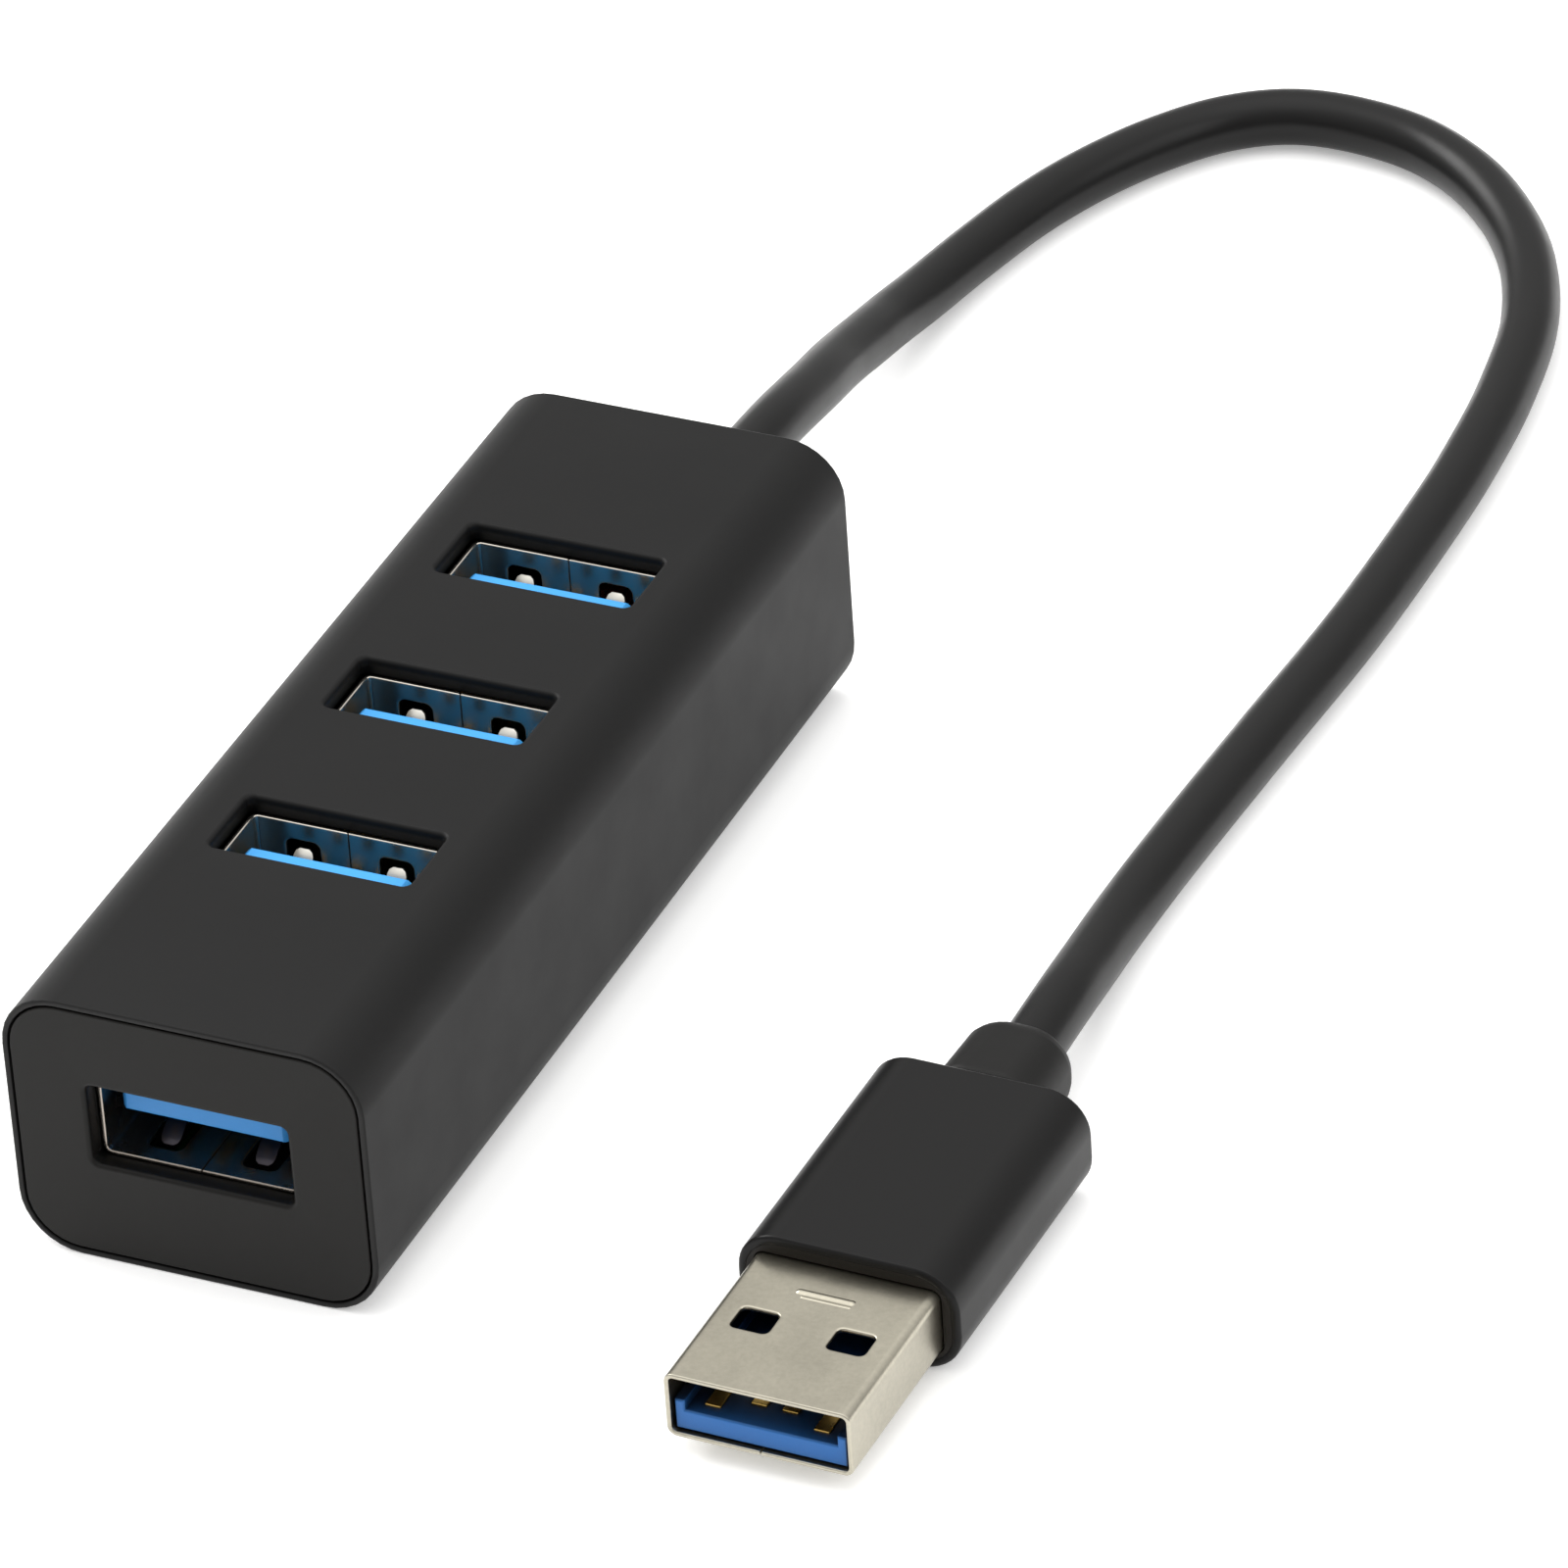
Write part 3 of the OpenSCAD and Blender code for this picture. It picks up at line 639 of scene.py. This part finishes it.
def cap_rings(face_y, inward):
    """Outer rings of an end cap, from its face to its inner end.

    inward is +1 for the cap at the front and -1 for the one at the back.
    """
    cap_edge = 0.12
    flange = RIM + CAP_GAP
    plate = WALL + FIT_GAP
    steps = [(d, flange + inset) for d, inset in edge_steps(cap_edge)]
    steps += [(RIM_DEPTH, flange), (RIM_DEPTH, plate), (CAP_DEPTH, plate)]
    return [hub_ring(face_y + inward * d, inset) for d, inset in steps]


def make_front_cap():
    """Cap with a slot as wide as the top ones, which narrows behind its seat to the end port's shell."""
    shape = Shape()
    outside = shape.loft(cap_rings(FRONT_Y, 1))
    seat = MOUTH_Y - FRONT_Y - 0.05
    hole_w = USB_W + 2 * SHEET_T + 2 * FIT_GAP
    hole_h = USB_H + 2 * SHEET_T + 2 * FIT_GAP
    hole_r = 0.3

    def slot_ring(w, h, r, depth):
        return [(x, FRONT_Y + depth, END_PORT_Z + z) for x, z in rounded_rect(w, h, r)]

    rings = [slot_ring(SLOT_W + 2 * o, SLOT_H + 2 * o, SLOT_R + o, d)
             for o, d in fillet_steps(SLOT_FILLET)]
    rings.append(slot_ring(SLOT_W, SLOT_H, SLOT_R, seat))
    rings.append(slot_ring(hole_w, hole_h, hole_r, seat))
    rings.append(slot_ring(hole_w, hole_h, hole_r, CAP_DEPTH))
    hole = shape.loft(rings)
    shape.quarters(outside[0], hole[0])
    shape.quarters(outside[-1], hole[-1])
    return piece("front_end_cap", shape, WORLD, "cap_plastic", HUB, ["front_cap"])


def make_rear_cap():
    """Cap with a round hole for the grommet's neck."""
    shape = Shape()
    outside = shape.loft(cap_rings(BACK_Y, -1))
    neck_r = 3.0
    flare = 0.2

    def round_ring(r, depth):
        return [(x, BACK_Y - depth, GROMMET_Z + z) for x, z in rounded_rect(2 * r, 2 * r, r, 8)]

    rings = [round_ring(neck_r + flare - o, d) for o, d in ((0, 0), (0.14, 0.06), (flare, flare))]
    rings.append(round_ring(neck_r, CAP_DEPTH))
    hole = shape.loft(rings)
    shape.quarters(outside[0], hole[0])
    shape.quarters(outside[-1], hole[-1])
    return piece("rear_end_cap", shape, WORLD, "cap_plastic", HUB, ["rear_cap"])


def turned(profile):
    """Rings of a turned piece round the cable's exit line; profile is (y, radius) pairs."""
    return [[(x, y, GROMMET_Z + z) for x, z in circle(r, 48)] for y, r in profile]


def make_grommet():
    """Turned grommet: a collar inside the rear cap, a neck through it, a flange outside and two ribs."""
    neck_r = 2.98
    # (y, radius): the collar from the cap's inner face, the rest from its outer face
    collar = [(-1.5, 4.1), (-1.38, 4.25), (-0.02, 4.25), (-0.02, neck_r)]
    flange = [(0.02, neck_r), (0.02, 3.68), (0.1, 3.8), (0.6, 3.72), (0.78, 3.55), (0.82, 3.1)]
    first_rib = [(1.1, 3.02), (1.25, 2.8), (1.45, 2.8), (1.6, 2.9)]
    second_rib = [(1.95, 2.84), (2.08, 2.65), (2.28, 2.65), (2.42, 2.72)]
    nose = [(2.8, 2.62), (2.96, 2.45), (GROMMET_NOSE, 2.0)]
    profile = [(BACK_Y - CAP_DEPTH + y, r) for y, r in collar]
    profile += [(BACK_Y + y, r) for y, r in flange + first_rib + second_rib + nose]
    shape = Shape()
    shape.loft(turned(profile), first_cap=True, last_cap=True)
    return piece("cable_gland", shape, WORLD, "moulded_black", HUB, ["cable_grommet"])


make_body_shell()
make_front_cap()
make_rear_cap()
grommet = make_grommet()

# ------------------------------------------------------------------ sheet-metal shells


def corner_arc(w, h, r, cx, cy, start, turn, n):
    """Stops (x, y, nx, ny) round one corner of a w x h sheet path; turn is +1 anticlockwise, -1 clockwise."""
    for k in range(n + 1):
        a = math.radians(start + turn * 90 * k / n)
        nx, ny = math.cos(a), math.sin(a)
        yield cx * (w / 2 - r) + r * nx, cy * (h / 2 - r) + r * ny, nx, ny


def folded_path(w, h, r, marks):
    """Middle line of a folded sheet, as (x, y, nx, ny) from the seam at the top's middle right round to it.

    marks are the extra stops along the top wall, given for its right half and mirrored for its left.
    """
    stops = [(x, h / 2, 0, 1) for x in (SEAM, *marks)]
    for cx, cy, start in ((1, 1, 90), (1, -1, 0), (-1, -1, -90), (-1, 1, -180)):
        stops += corner_arc(w, h, r, cx, cy, start, -1, 4)
    stops += [(-x, h / 2, 0, 1) for x in reversed((SEAM, *marks))]
    return stops


def make_port_shell(port):
    """Folded shell with a window for each spring finger in its top wall and a tab below each side."""
    shape = Shape()
    margin = 0.3
    bend_r = 0.42
    cell = (FINGER_X - WINDOW_W / 2 - margin, FINGER_X + WINDOW_W / 2 + margin)
    path = folded_path(USB_W + SHEET_T, USB_H + SHEET_T, bend_r, cell)
    rows = (0.0, -(WINDOW_MOUTH - margin), -(WINDOW_DEEP + margin), -PORT_DEPTH)
    last = len(path) - 1
    # the windows' columns in the grid, by their side of the middle; both are in the same row
    columns = {1: 1, -1: last - 2}
    window_row = 1

    def outline(grow):
        return rounded_rect(WINDOW_W + 2 * grow, WINDOW_DEEP - WINDOW_MOUTH + 2 * grow, WINDOW_R + grow)

    def punch(grid, column, sign, wall_y):
        """A framed window in one skin of the top wall."""
        high, low = grid[window_row], grid[window_row + 1]
        right, left = sorted((column, column + 1), key=lambda k: -shape.points[high[k]][0])
        mid_z = -(WINDOW_MOUTH + WINDOW_DEEP) / 2
        return shape.framed_hole([low[right], high[right], high[left], low[left]], outline,
                                 lambda q: (sign * FINGER_X + q[0], wall_y, mid_z + q[1]))

    skins = []
    for side in (1, -1):
        offset = side * SHEET_T / 2
        grid = []
        for z in rows:
            grid.append(shape.add([(x + nx * offset, y + ny * offset, z) for x, y, nx, ny in path]))
        for k in range(len(rows) - 1):
            skip = columns.values() if k == window_row else ()
            shape.strip(grid[k], grid[k + 1], closed=False, skip=skip)
        wall_y = (USB_H + SHEET_T) / 2 + offset
        holes = [punch(grid, column, sign, wall_y) for sign, column in columns.items()]
        skins.append((grid, holes))
    (grid_a, holes_a), (grid_b, holes_b) = skins
    shape.strip(grid_a[0], grid_b[0], closed=False)
    shape.strip(grid_a[-1], grid_b[-1], closed=False)
    for end in (0, last):
        shape.strip([g[end] for g in grid_a], [g[end] for g in grid_b], closed=False)
    for a, b in zip(holes_a, holes_b):
        shape.strip(a, b)
    for x in (-(USB_W + SHEET_T) / 2, (USB_W + SHEET_T) / 2):
        shape.box((x - SHEET_T / 2, -1, -PORT_DEPTH - TAIL_L), (x + SHEET_T / 2, 1, -PORT_DEPTH - 0.02))
    finish = "front_port_nickel_shaded" if port == "end_port" else "port_nickel"
    return piece(port + "_metal", shape, PORT_FRAMES[port], finish, HUB, [port + "_shell"],
                 bevel=0.09, segments=3)


def make_tongue(port):
    """Blue insulator: a base that fills the shell and a tongue with bevelled ends."""
    shape = Shape()
    base_w = USB_W - 0.1
    base_h = USB_H - 0.1
    base_top = -PORT_DEPTH + 2.7
    shape.box((-base_w / 2, -base_h / 2, -PORT_DEPTH), (base_w / 2, base_h / 2, base_top))

    tip = END_TONGUE_TIP if port == "end_port" else TOP_TONGUE_TIP
    part_way = CHAMFER - CONTACT_CHAMFER

    def section(z, back, contact_side):
        """One ring of the tongue, drawn in by back at its ends and its back, and on its contacts' side."""
        half = TONGUE_W / 2 - back
        low = -TONGUE_T + back
        high = -contact_side
        return [(-half, low, z), (half, low, z), (half, high, z), (-half, high, z)]

    rings = [
        section(base_top - 0.05, 0, 0),
        section(tip - CHAMFER, 0, 0),
        section(tip - CONTACT_CHAMFER, part_way, 0),
        section(tip, CHAMFER, CONTACT_CHAMFER),
    ]
    shape.loft(rings, first_cap=True, last_cap=True)
    finish = "front_port_blue_shaded" if port == "end_port" else "port_blue"
    return piece(port + "_tongue", shape, PORT_FRAMES[port], finish, HUB, [port + "_insulator"],
                 bevel=0.05)


def ribbon(shape, line, width, thick, centre, taper_tip=0.0):
    """A strip of sheet that follows a (y, z) line across x = centre.

    Its width shrinks along a quarter ellipse over the last taper_tip of its length, to 0.45 of itself.
    """
    tip_share = 0.45
    rings = []
    run = [0.0]
    for (y0, z0), (y1, z1) in zip(line, line[1:]):
        run.append(run[-1] + math.hypot(y1 - y0, z1 - z0))
    for i, (y, z) in enumerate(line):
        before_y, before_z = line[max(i - 1, 0)]
        after_y, after_z = line[min(i + 1, len(line) - 1)]
        along_y = after_y - before_y
        along_z = after_z - before_z
        size = math.hypot(along_y, along_z)
        across_y = along_z / size
        across_z = -along_y / size
        half = width / 2
        left = run[-1] - run[i]
        if left < taper_tip:
            q = 1 - left / taper_tip
            half *= math.sqrt(max(0.0, 1 - q * q)) * (1 - tip_share) + tip_share
        ring = []
        for x, t in ((half, -0.5), (half, 0.5), (-half, 0.5), (-half, -0.5)):
            ring.append((centre + x, y + across_y * t * thick, z + across_z * t * thick))
        rings.append(ring)
    shape.loft(rings, first_cap=True, last_cap=True)


def smooth_line(points):
    return [tuple(q) for q in curve_through(points, 5)]


def make_fingers(port):
    """The two spring fingers of a port, on a body of their own."""
    shape = Shape()
    line = smooth_line(FINGER_LINE)
    for x in (-FINGER_X, FINGER_X):
        ribbon(shape, line, FINGER_W, FINGER_T, x, taper_tip=FINGER_TIP)
    finish = "front_spring_nickel_shaded" if port == "end_port" else "spring_nickel"
    return piece(port + "_spring_pair", shape, PORT_FRAMES[port], finish, port + "_springs",
                 [port + "_fingers"], bevel=0.05)


def make_port_contacts(port):
    """Four sprung power leaves along the tongue, five flat pads near its tip, and the pads' tails."""
    shape = Shape()
    leaf = 0.25
    power_w = 0.9
    tail_end = -PORT_DEPTH - TAIL_L
    tail_y = -1.7
    tail_inside = 0.9
    pad_top = 0.05
    pad_near, pad_far = -1.3, -2.8
    power = [(-leaf / 2, tail_end), (-leaf / 2, -9.4), (0.22, -7.5), (0.55, -5.5), (0.34, -4.7),
             (-0.06, -3.95)]
    for x in POWER_XS:
        ribbon(shape, smooth_line(power), power_w, leaf, x)
    for x in FAST_XS:
        lo, hi = x - FAST_W / 2, x + FAST_W / 2
        shape.box((lo, -leaf, pad_far), (hi, pad_top, pad_near))
        shape.box((lo, tail_y, tail_end), (hi, tail_y + leaf, -PORT_DEPTH + tail_inside))
    return piece(port + "_leaves", shape, PORT_FRAMES[port], "contact_gold", HUB, [port + "_contacts"],
                 bevel=0.04)


for port_name in PORT_FRAMES:
    make_port_shell(port_name)
    make_tongue(port_name)
    make_fingers(port_name)
    make_port_contacts(port_name)

# ------------------------------------------------------------------ plug


def make_plug_metal():
    """Folded shell with two punched windows in each broad wall."""
    shape = Shape()
    w = METAL_W - METAL_T
    h = METAL_H - METAL_T
    r = METAL_R - METAL_T / 2
    window_x = 3.1
    window_w = 2.5
    window_l = 2.1
    window_r = 0.42
    window_y = 5.5
    margin = 0.35
    cell = [window_x - window_w / 2 - margin, window_x + window_w / 2 + margin]
    # middle line from the seam at the bottom's middle, up the right side; the left half is its mirror image
    stops = [(x, -h / 2, 0, -1) for x in (SEAM, *cell)]
    for cx, cz, start in ((1, -1, -90), (1, 1, 0)):
        stops += corner_arc(w, h, r, cx, cz, start, 1, 5)
    stops += [(x, h / 2, 0, 1) for x in reversed(cell)]
    stops += [(-x, z, -nx, nz) for x, z, nx, nz in reversed(stops)]
    rows = (0.0, window_y - margin, window_y + window_l + margin, PLUG_REACH + METAL_HIDDEN)
    window_row = 1
    last = len(stops) - 1
    middle_top = len(stops) // 2 - 1
    columns = (1, middle_top - 1, middle_top + 1, last - 2)

    def outline(grow):
        return rounded_rect(window_w + 2 * grow, window_l + 2 * grow, window_r + grow)

    def punch(grid, column):
        """A framed window in one skin of a broad wall."""
        near, far = grid[window_row], grid[window_row + 1]
        right, left = sorted((column, column + 1), key=lambda k: -shape.points[near[k]][0])
        x_mid = (shape.points[near[right]][0] + shape.points[near[left]][0]) / 2
        y_mid = window_y + window_l / 2
        wall_z = shape.points[near[column]][2]
        return shape.framed_hole([near[right], far[right], far[left], near[left]], outline,
                                 lambda q: (x_mid + q[0], y_mid + q[1], wall_z))

    grids = []
    rings = []
    for side in (1, -1):
        offset = side * METAL_T / 2
        grid = []
        for y in rows:
            grid.append(shape.add([(x + nx * offset, y, z + nz * offset) for x, z, nx, nz in stops]))
        for k in range(len(rows) - 1):
            shape.strip(grid[k], grid[k + 1], closed=False, skip=columns if k == window_row else ())
        grids.append(grid)
        rings += [punch(grid, column) for column in columns]
    outer, inner = grids
    shape.strip(outer[0], inner[0], closed=False)
    shape.strip(outer[-1], inner[-1], closed=False)
    for end in (0, last):
        shape.strip([g[end] for g in outer], [g[end] for g in inner], closed=False)
    for a, b in zip(rings[:len(columns)], rings[len(columns):]):
        shape.strip(a, b)
    return piece("plug_metal", shape, PLUG_FRAME, "nickel", HUB, ["plug_shell"], bevel=0.11, segments=3)


def make_pressed_bar():
    """Low pressed bar on the plug's top: a thin ridge towards the tip and a broader one behind it.

    It is a fine net whose flat parts lie just under the metal's surface, so only its ridges show.
    """
    shape = Shape()
    surface = METAL_H / 2
    sunk = 0.02
    near_ridge = dict(x_mid=0.1, y_mid=9.54, reach=1.5, width=0.17, height=0.06)
    far_ridge = dict(x_mid=-0.1, y_mid=10.0, reach=1.65, width=0.3, height=0.12)
    y_lo, y_hi = 9.3, 10.6
    half = 2.3
    columns = 96
    rows = 44

    def mound(x, y, x_mid, y_mid, reach, width, height):
        """Height at x, y of a round-ended ridge that runs along x and is width to each side of its crest."""
        away = math.hypot(max(0.0, abs(x - x_mid) - reach), y - y_mid) / width
        return height * max(0.0, 1 - away ** 2) ** 1.3

    net = []
    for j in range(rows + 1):
        y = y_lo + (y_hi - y_lo) * j / rows
        line = []
        for i in range(columns + 1):
            x = -half + 2 * half * i / columns
            line.append((x, y, surface + (mound(x, y, **near_ridge) + mound(x, y, **far_ridge) - sunk)))
        net.append(shape.add(line))
    for a, b in zip(net, net[1:]):
        shape.strip(a, b, closed=False)
    right_side = [line[-1] for line in net[1:-1]]
    left_side = [line[0] for line in net[-2:0:-1]]
    border = net[0] + right_side + net[-1][::-1] + left_side
    under = shape.add([(shape.points[k][0], shape.points[k][1], surface - 3 * sunk) for k in border])
    shape.strip(border, under)
    shape.cap(under)
    return piece("plug_pressed_bar", shape, PLUG_FRAME, "nickel", HUB, ["plug_shell"])


def make_plug_block():
    """Blue block with a rail along each side and a softly bevelled front."""
    shape = Shape()
    half = 11.1 / 2
    front = 0.3
    floor_z = -METAL_H / 2 + METAL_T + 0.1
    rail_z = BLOCK_TOP + 0.67
    rail_w = 0.65

    def section(y, inset):
        outer = half - inset
        inner = half - rail_w + inset
        low, rail, top = floor_z + inset, rail_z - inset, BLOCK_TOP - inset
        outline = [(-outer, low), (outer, low), (outer, rail), (inner, rail)]
        outline += [(inner, top), (-inner, top), (-inner, rail), (-outer, rail)]
        return [(x, y, z) for x, z in outline]

    rings = [section(front, 0.1), section(front + 0.12, 0), section(PLUG_REACH + METAL_HIDDEN, 0)]
    shape.loft(rings, first_cap=True, last_cap=True)
    return piece("plug_block", shape, PLUG_FRAME, "plug_blue", HUB, ["plug_insulator"], bevel=0.04)


def make_plug_contacts():
    """Four power contacts near the tip, the outer two further forwards, and five fast ones deep inside."""
    shape = Shape()
    power_half = 0.5
    power_l = 3.9
    power_top = BLOCK_TOP + 0.12
    fast_y, fast_l = 11.4, 6
    fast_top = BLOCK_TOP + 0.25
    sunk = BLOCK_TOP - 0.1
    for x in POWER_XS:
        y = 1.2 if abs(x) == max(POWER_XS) else 2.25
        shape.box((x - power_half, y, sunk), (x + power_half, y + power_l, power_top))
    for x in FAST_XS:
        shape.box((x - FAST_W / 2, fast_y, sunk), (x + FAST_W / 2, fast_y + fast_l, fast_top))
    return piece("plug_leaves", shape, PLUG_FRAME, "contact_gold", HUB, ["plug_contacts"], bevel=0.05)


def plug_ring(y, w, h, r):
    return [(x, y, z) for x, z in rounded_rect(w, h, r, 10)]


def sleeve_ring(y, inset):
    """The sleeve's outline at y, drawn in by inset."""
    return plug_ring(y, SLEEVE_W - 2 * inset, SLEEVE_H - 2 * inset, SLEEVE_R - inset)


def make_sleeve():
    """Aluminium tube with rounded ends."""
    shape = Shape()
    edge = 0.22
    lip = 0.02
    front = [(PLUG_REACH, edge + lip), (PLUG_REACH + 0.3 * edge, 0.3 * edge), (PLUG_REACH + edge, 0)]
    back = [(SLEEVE_BACK - d, inset) for d, inset in reversed(edge_steps(edge))]
    inside = [(SLEEVE_BACK, SLEEVE_T - lip), (SLEEVE_BACK - lip, SLEEVE_T),
              (PLUG_REACH + lip, SLEEVE_T), (PLUG_REACH, SLEEVE_T - lip)]
    shape.loft([sleeve_ring(y, inset) for y, inset in front + back + inside], ring_loop=True)
    return piece("plug_barrel", shape, PLUG_FRAME, "sleeve_aluminium", HUB, ["plug_sleeve"])


def make_core():
    """Moulded filling of the sleeve, with a pocket that the metal shell goes into."""
    shape = Shape()
    gap = 0.005
    lip = 0.02
    skin = [(PLUG_REACH, lip), (PLUG_REACH + lip, 0), (SLEEVE_BACK - lip, 0), (SLEEVE_BACK, lip)]
    pocket = [(PLUG_REACH, 0.12), (PLUG_REACH + 0.08, 0.05), (PLUG_REACH + METAL_HIDDEN, 0.05)]
    skin_rings = [sleeve_ring(y, SLEEVE_T + gap + inset) for y, inset in skin]
    pocket_rings = [plug_ring(y, METAL_W + 2 * o, METAL_H + 2 * o, METAL_R + o) for y, o in pocket]
    outside = shape.loft(skin_rings, last_cap=True)
    hole = shape.loft(pocket_rings, last_cap=True)
    shape.quarters(outside[0], hole[0])
    return piece("plug_filling", shape, PLUG_FRAME, "core_black", HUB, ["plug_core"])


def make_relief():
    """Strain relief: broad at the sleeve, then drawn in over round shoulders to the cable."""
    shape = Shape()
    base_w = 7.2
    base_h = 5.8
    # how much narrower and lower its far end would be, if the shoulders didn't draw it in further
    draft = 0.4
    corner_r = 2.4
    mouth = CORD_D + 0.05
    throat = mouth - 0.5
    shoulder = 1.4
    body_steps = 4
    shoulder_steps = 10
    rings = []
    for k in range(body_steps + 1):
        t = k / body_steps * (RELIEF_L - shoulder) / RELIEF_L
        w = base_w - draft * t
        h = base_h - draft * t
        rings.append(plug_ring(SLEEVE_BACK + t * RELIEF_L, w, h, corner_r * h / base_h))
    for k in range(1, shoulder_steps + 1):
        a = math.radians(90 * k / shoulder_steps)
        ring_w = mouth + (w - mouth) * math.cos(a)
        ring_h = mouth + (h - mouth) * math.cos(a)
        y = RELIEF_END - shoulder * (1 - math.sin(a))
        rings.append(plug_ring(y, ring_w, ring_h, min(corner_r, ring_h / 2 - 0.02)))
    rings.append(plug_ring(RELIEF_END - 0.15, throat, throat, throat / 2))
    shape.loft(rings, first_cap=True, last_cap=True)
    off_middle = Matrix.Translation((RELIEF_X, 0, 0))
    return piece("plug_boot", shape, PLUG_FRAME @ off_middle, "moulded_black", HUB,
                 ["plug_strain_relief"])


plug_pieces = [
    make_plug_metal(),
    make_pressed_bar(),
    make_plug_block(),
    make_plug_contacts(),
    make_sleeve(),
    make_core(),
    make_relief(),
]

# ------------------------------------------------------------------ floor and light

# Floor, in metres; it lies a hair below the object, so the two faces are never in one plane
FLOOR_REACH = 4.0
FLOOR_Z = -0.00002


def make_stage():
    """A pale floor that glows a little, like a light table, so shadows on it stay pale."""
    floor_mesh = bpy.data.meshes.new("floor")
    corners = [(x * FLOOR_REACH, y * FLOOR_REACH, 0) for x, y in ((-1, -1), (1, -1), (1, 1), (-1, 1))]
    floor_mesh.from_pydata(corners, [], [(0, 1, 2, 3)])
    floor = bpy.data.objects.new("floor", floor_mesh)
    floor.location.z = FLOOR_Z
    bpy.context.scene.collection.objects.link(floor)
    pale = bpy.data.materials.new("pale_floor")
    pale.use_nodes = True
    surface = pale.node_tree.nodes["Principled BSDF"].inputs
    surface["Base Color"].default_value = (0.95, 0.95, 0.95, 1)
    surface["Roughness"].default_value = 0.9
    surface["Specular IOR Level"].default_value = 0.1
    surface["Emission Color"].default_value = (1, 1, 1, 1)
    surface["Emission Strength"].default_value = 0.3
    floor_mesh.materials.append(pale)


# Lights, in metres and watts
LIGHT_TARGET = Vector((0.01, 0.02, 0))


def area_light(name, place, side, watts):
    """A square light that faces the object."""
    data = bpy.data.lights.new(name, "AREA")
    data.shape = "SQUARE"
    data.size = side
    data.energy = watts
    light = bpy.data.objects.new(name, data)
    light.location = place
    light.rotation_euler = (LIGHT_TARGET - Vector(place)).to_track_quat("-Z", "Y").to_euler()
    bpy.context.scene.collection.objects.link(light)


# Brightness of the tent at the horizon, at the height whose sine is MID_SKY, and what the zenith adds to that
HORIZON_LEVEL = 0.4
MID_SKY = 0.6
MID_SKY_LEVEL = 0.92
ZENITH_EXTRA = 0.8
# The bright window: the direction of its middle, the half angles of its edge and of its full part
WINDOW = Vector((-0.8, 0.2, 0.56)).normalized()
WINDOW_EDGE = math.radians(18)
WINDOW_FULL = math.radians(8)
WINDOW_LEVEL = 8
# The dim front: its direction, the closeness to it at which dimming starts and ends, and what it leaves
FRONT = (0.5, -0.87, 0)
FRONT_START = 0.3
FRONT_FULL = 0.8
FRONT_LEVEL = 0.7
TENT_COLOUR = (1, 0.995, 0.985, 1)


def closeness(tree, direction, towards):
    """Dot product of the direction looked in and a fixed one."""
    made = node(tree, "ShaderNodeVectorMath", operation="DOT_PRODUCT")
    tree.links.new(direction, made.inputs[0])
    made.inputs[1].default_value = towards
    return made.outputs["Value"]


def make_lights():
    """A white tent: brighter above than at the horizon, dim towards the front, with a window on the left."""
    world = bpy.data.worlds.new("studio")
    bpy.context.scene.world = world
    world.use_nodes = True
    tree = world.node_tree
    background = tree.nodes["Background"]
    direction = node(tree, "ShaderNodeTexCoord").outputs["Generated"]
    split = node(tree, "ShaderNodeSeparateXYZ")
    tree.links.new(direction, split.inputs[0])
    up = split.outputs["Z"]
    near_window = closeness(tree, direction, WINDOW)
    near_front = closeness(tree, direction, FRONT)
    level = ramp(tree, up, 0, MID_SKY, HORIZON_LEVEL, MID_SKY_LEVEL)
    dim = ramp(tree, near_front, FRONT_START, FRONT_FULL, 1, FRONT_LEVEL)
    zenith = ramp(tree, up, MID_SKY, 1, 0, ZENITH_EXTRA)
    window = ramp(tree, near_window, math.cos(WINDOW_EDGE), math.cos(WINDOW_FULL), 0, WINDOW_LEVEL)
    for operation, part in (("MULTIPLY", dim), ("ADD", zenith), ("ADD", window)):
        total = node(tree, "ShaderNodeMath", operation=operation)
        tree.links.new(level, total.inputs[0])
        tree.links.new(part, total.inputs[1])
        level = total.outputs[0]
    tree.links.new(level, background.inputs["Strength"])
    background.inputs["Color"].default_value = TENT_COLOUR
    area_light("overhead", (-0.1, 0.1, 1.2), 1.1, 2)
    area_light("side_fill", (1.0, 0.1, 0.7), 0.7, 2.1)


make_stage()
make_lights()
bpy.context.scene.view_settings.view_transform = "Standard"


bpy.context.view_layer.update()
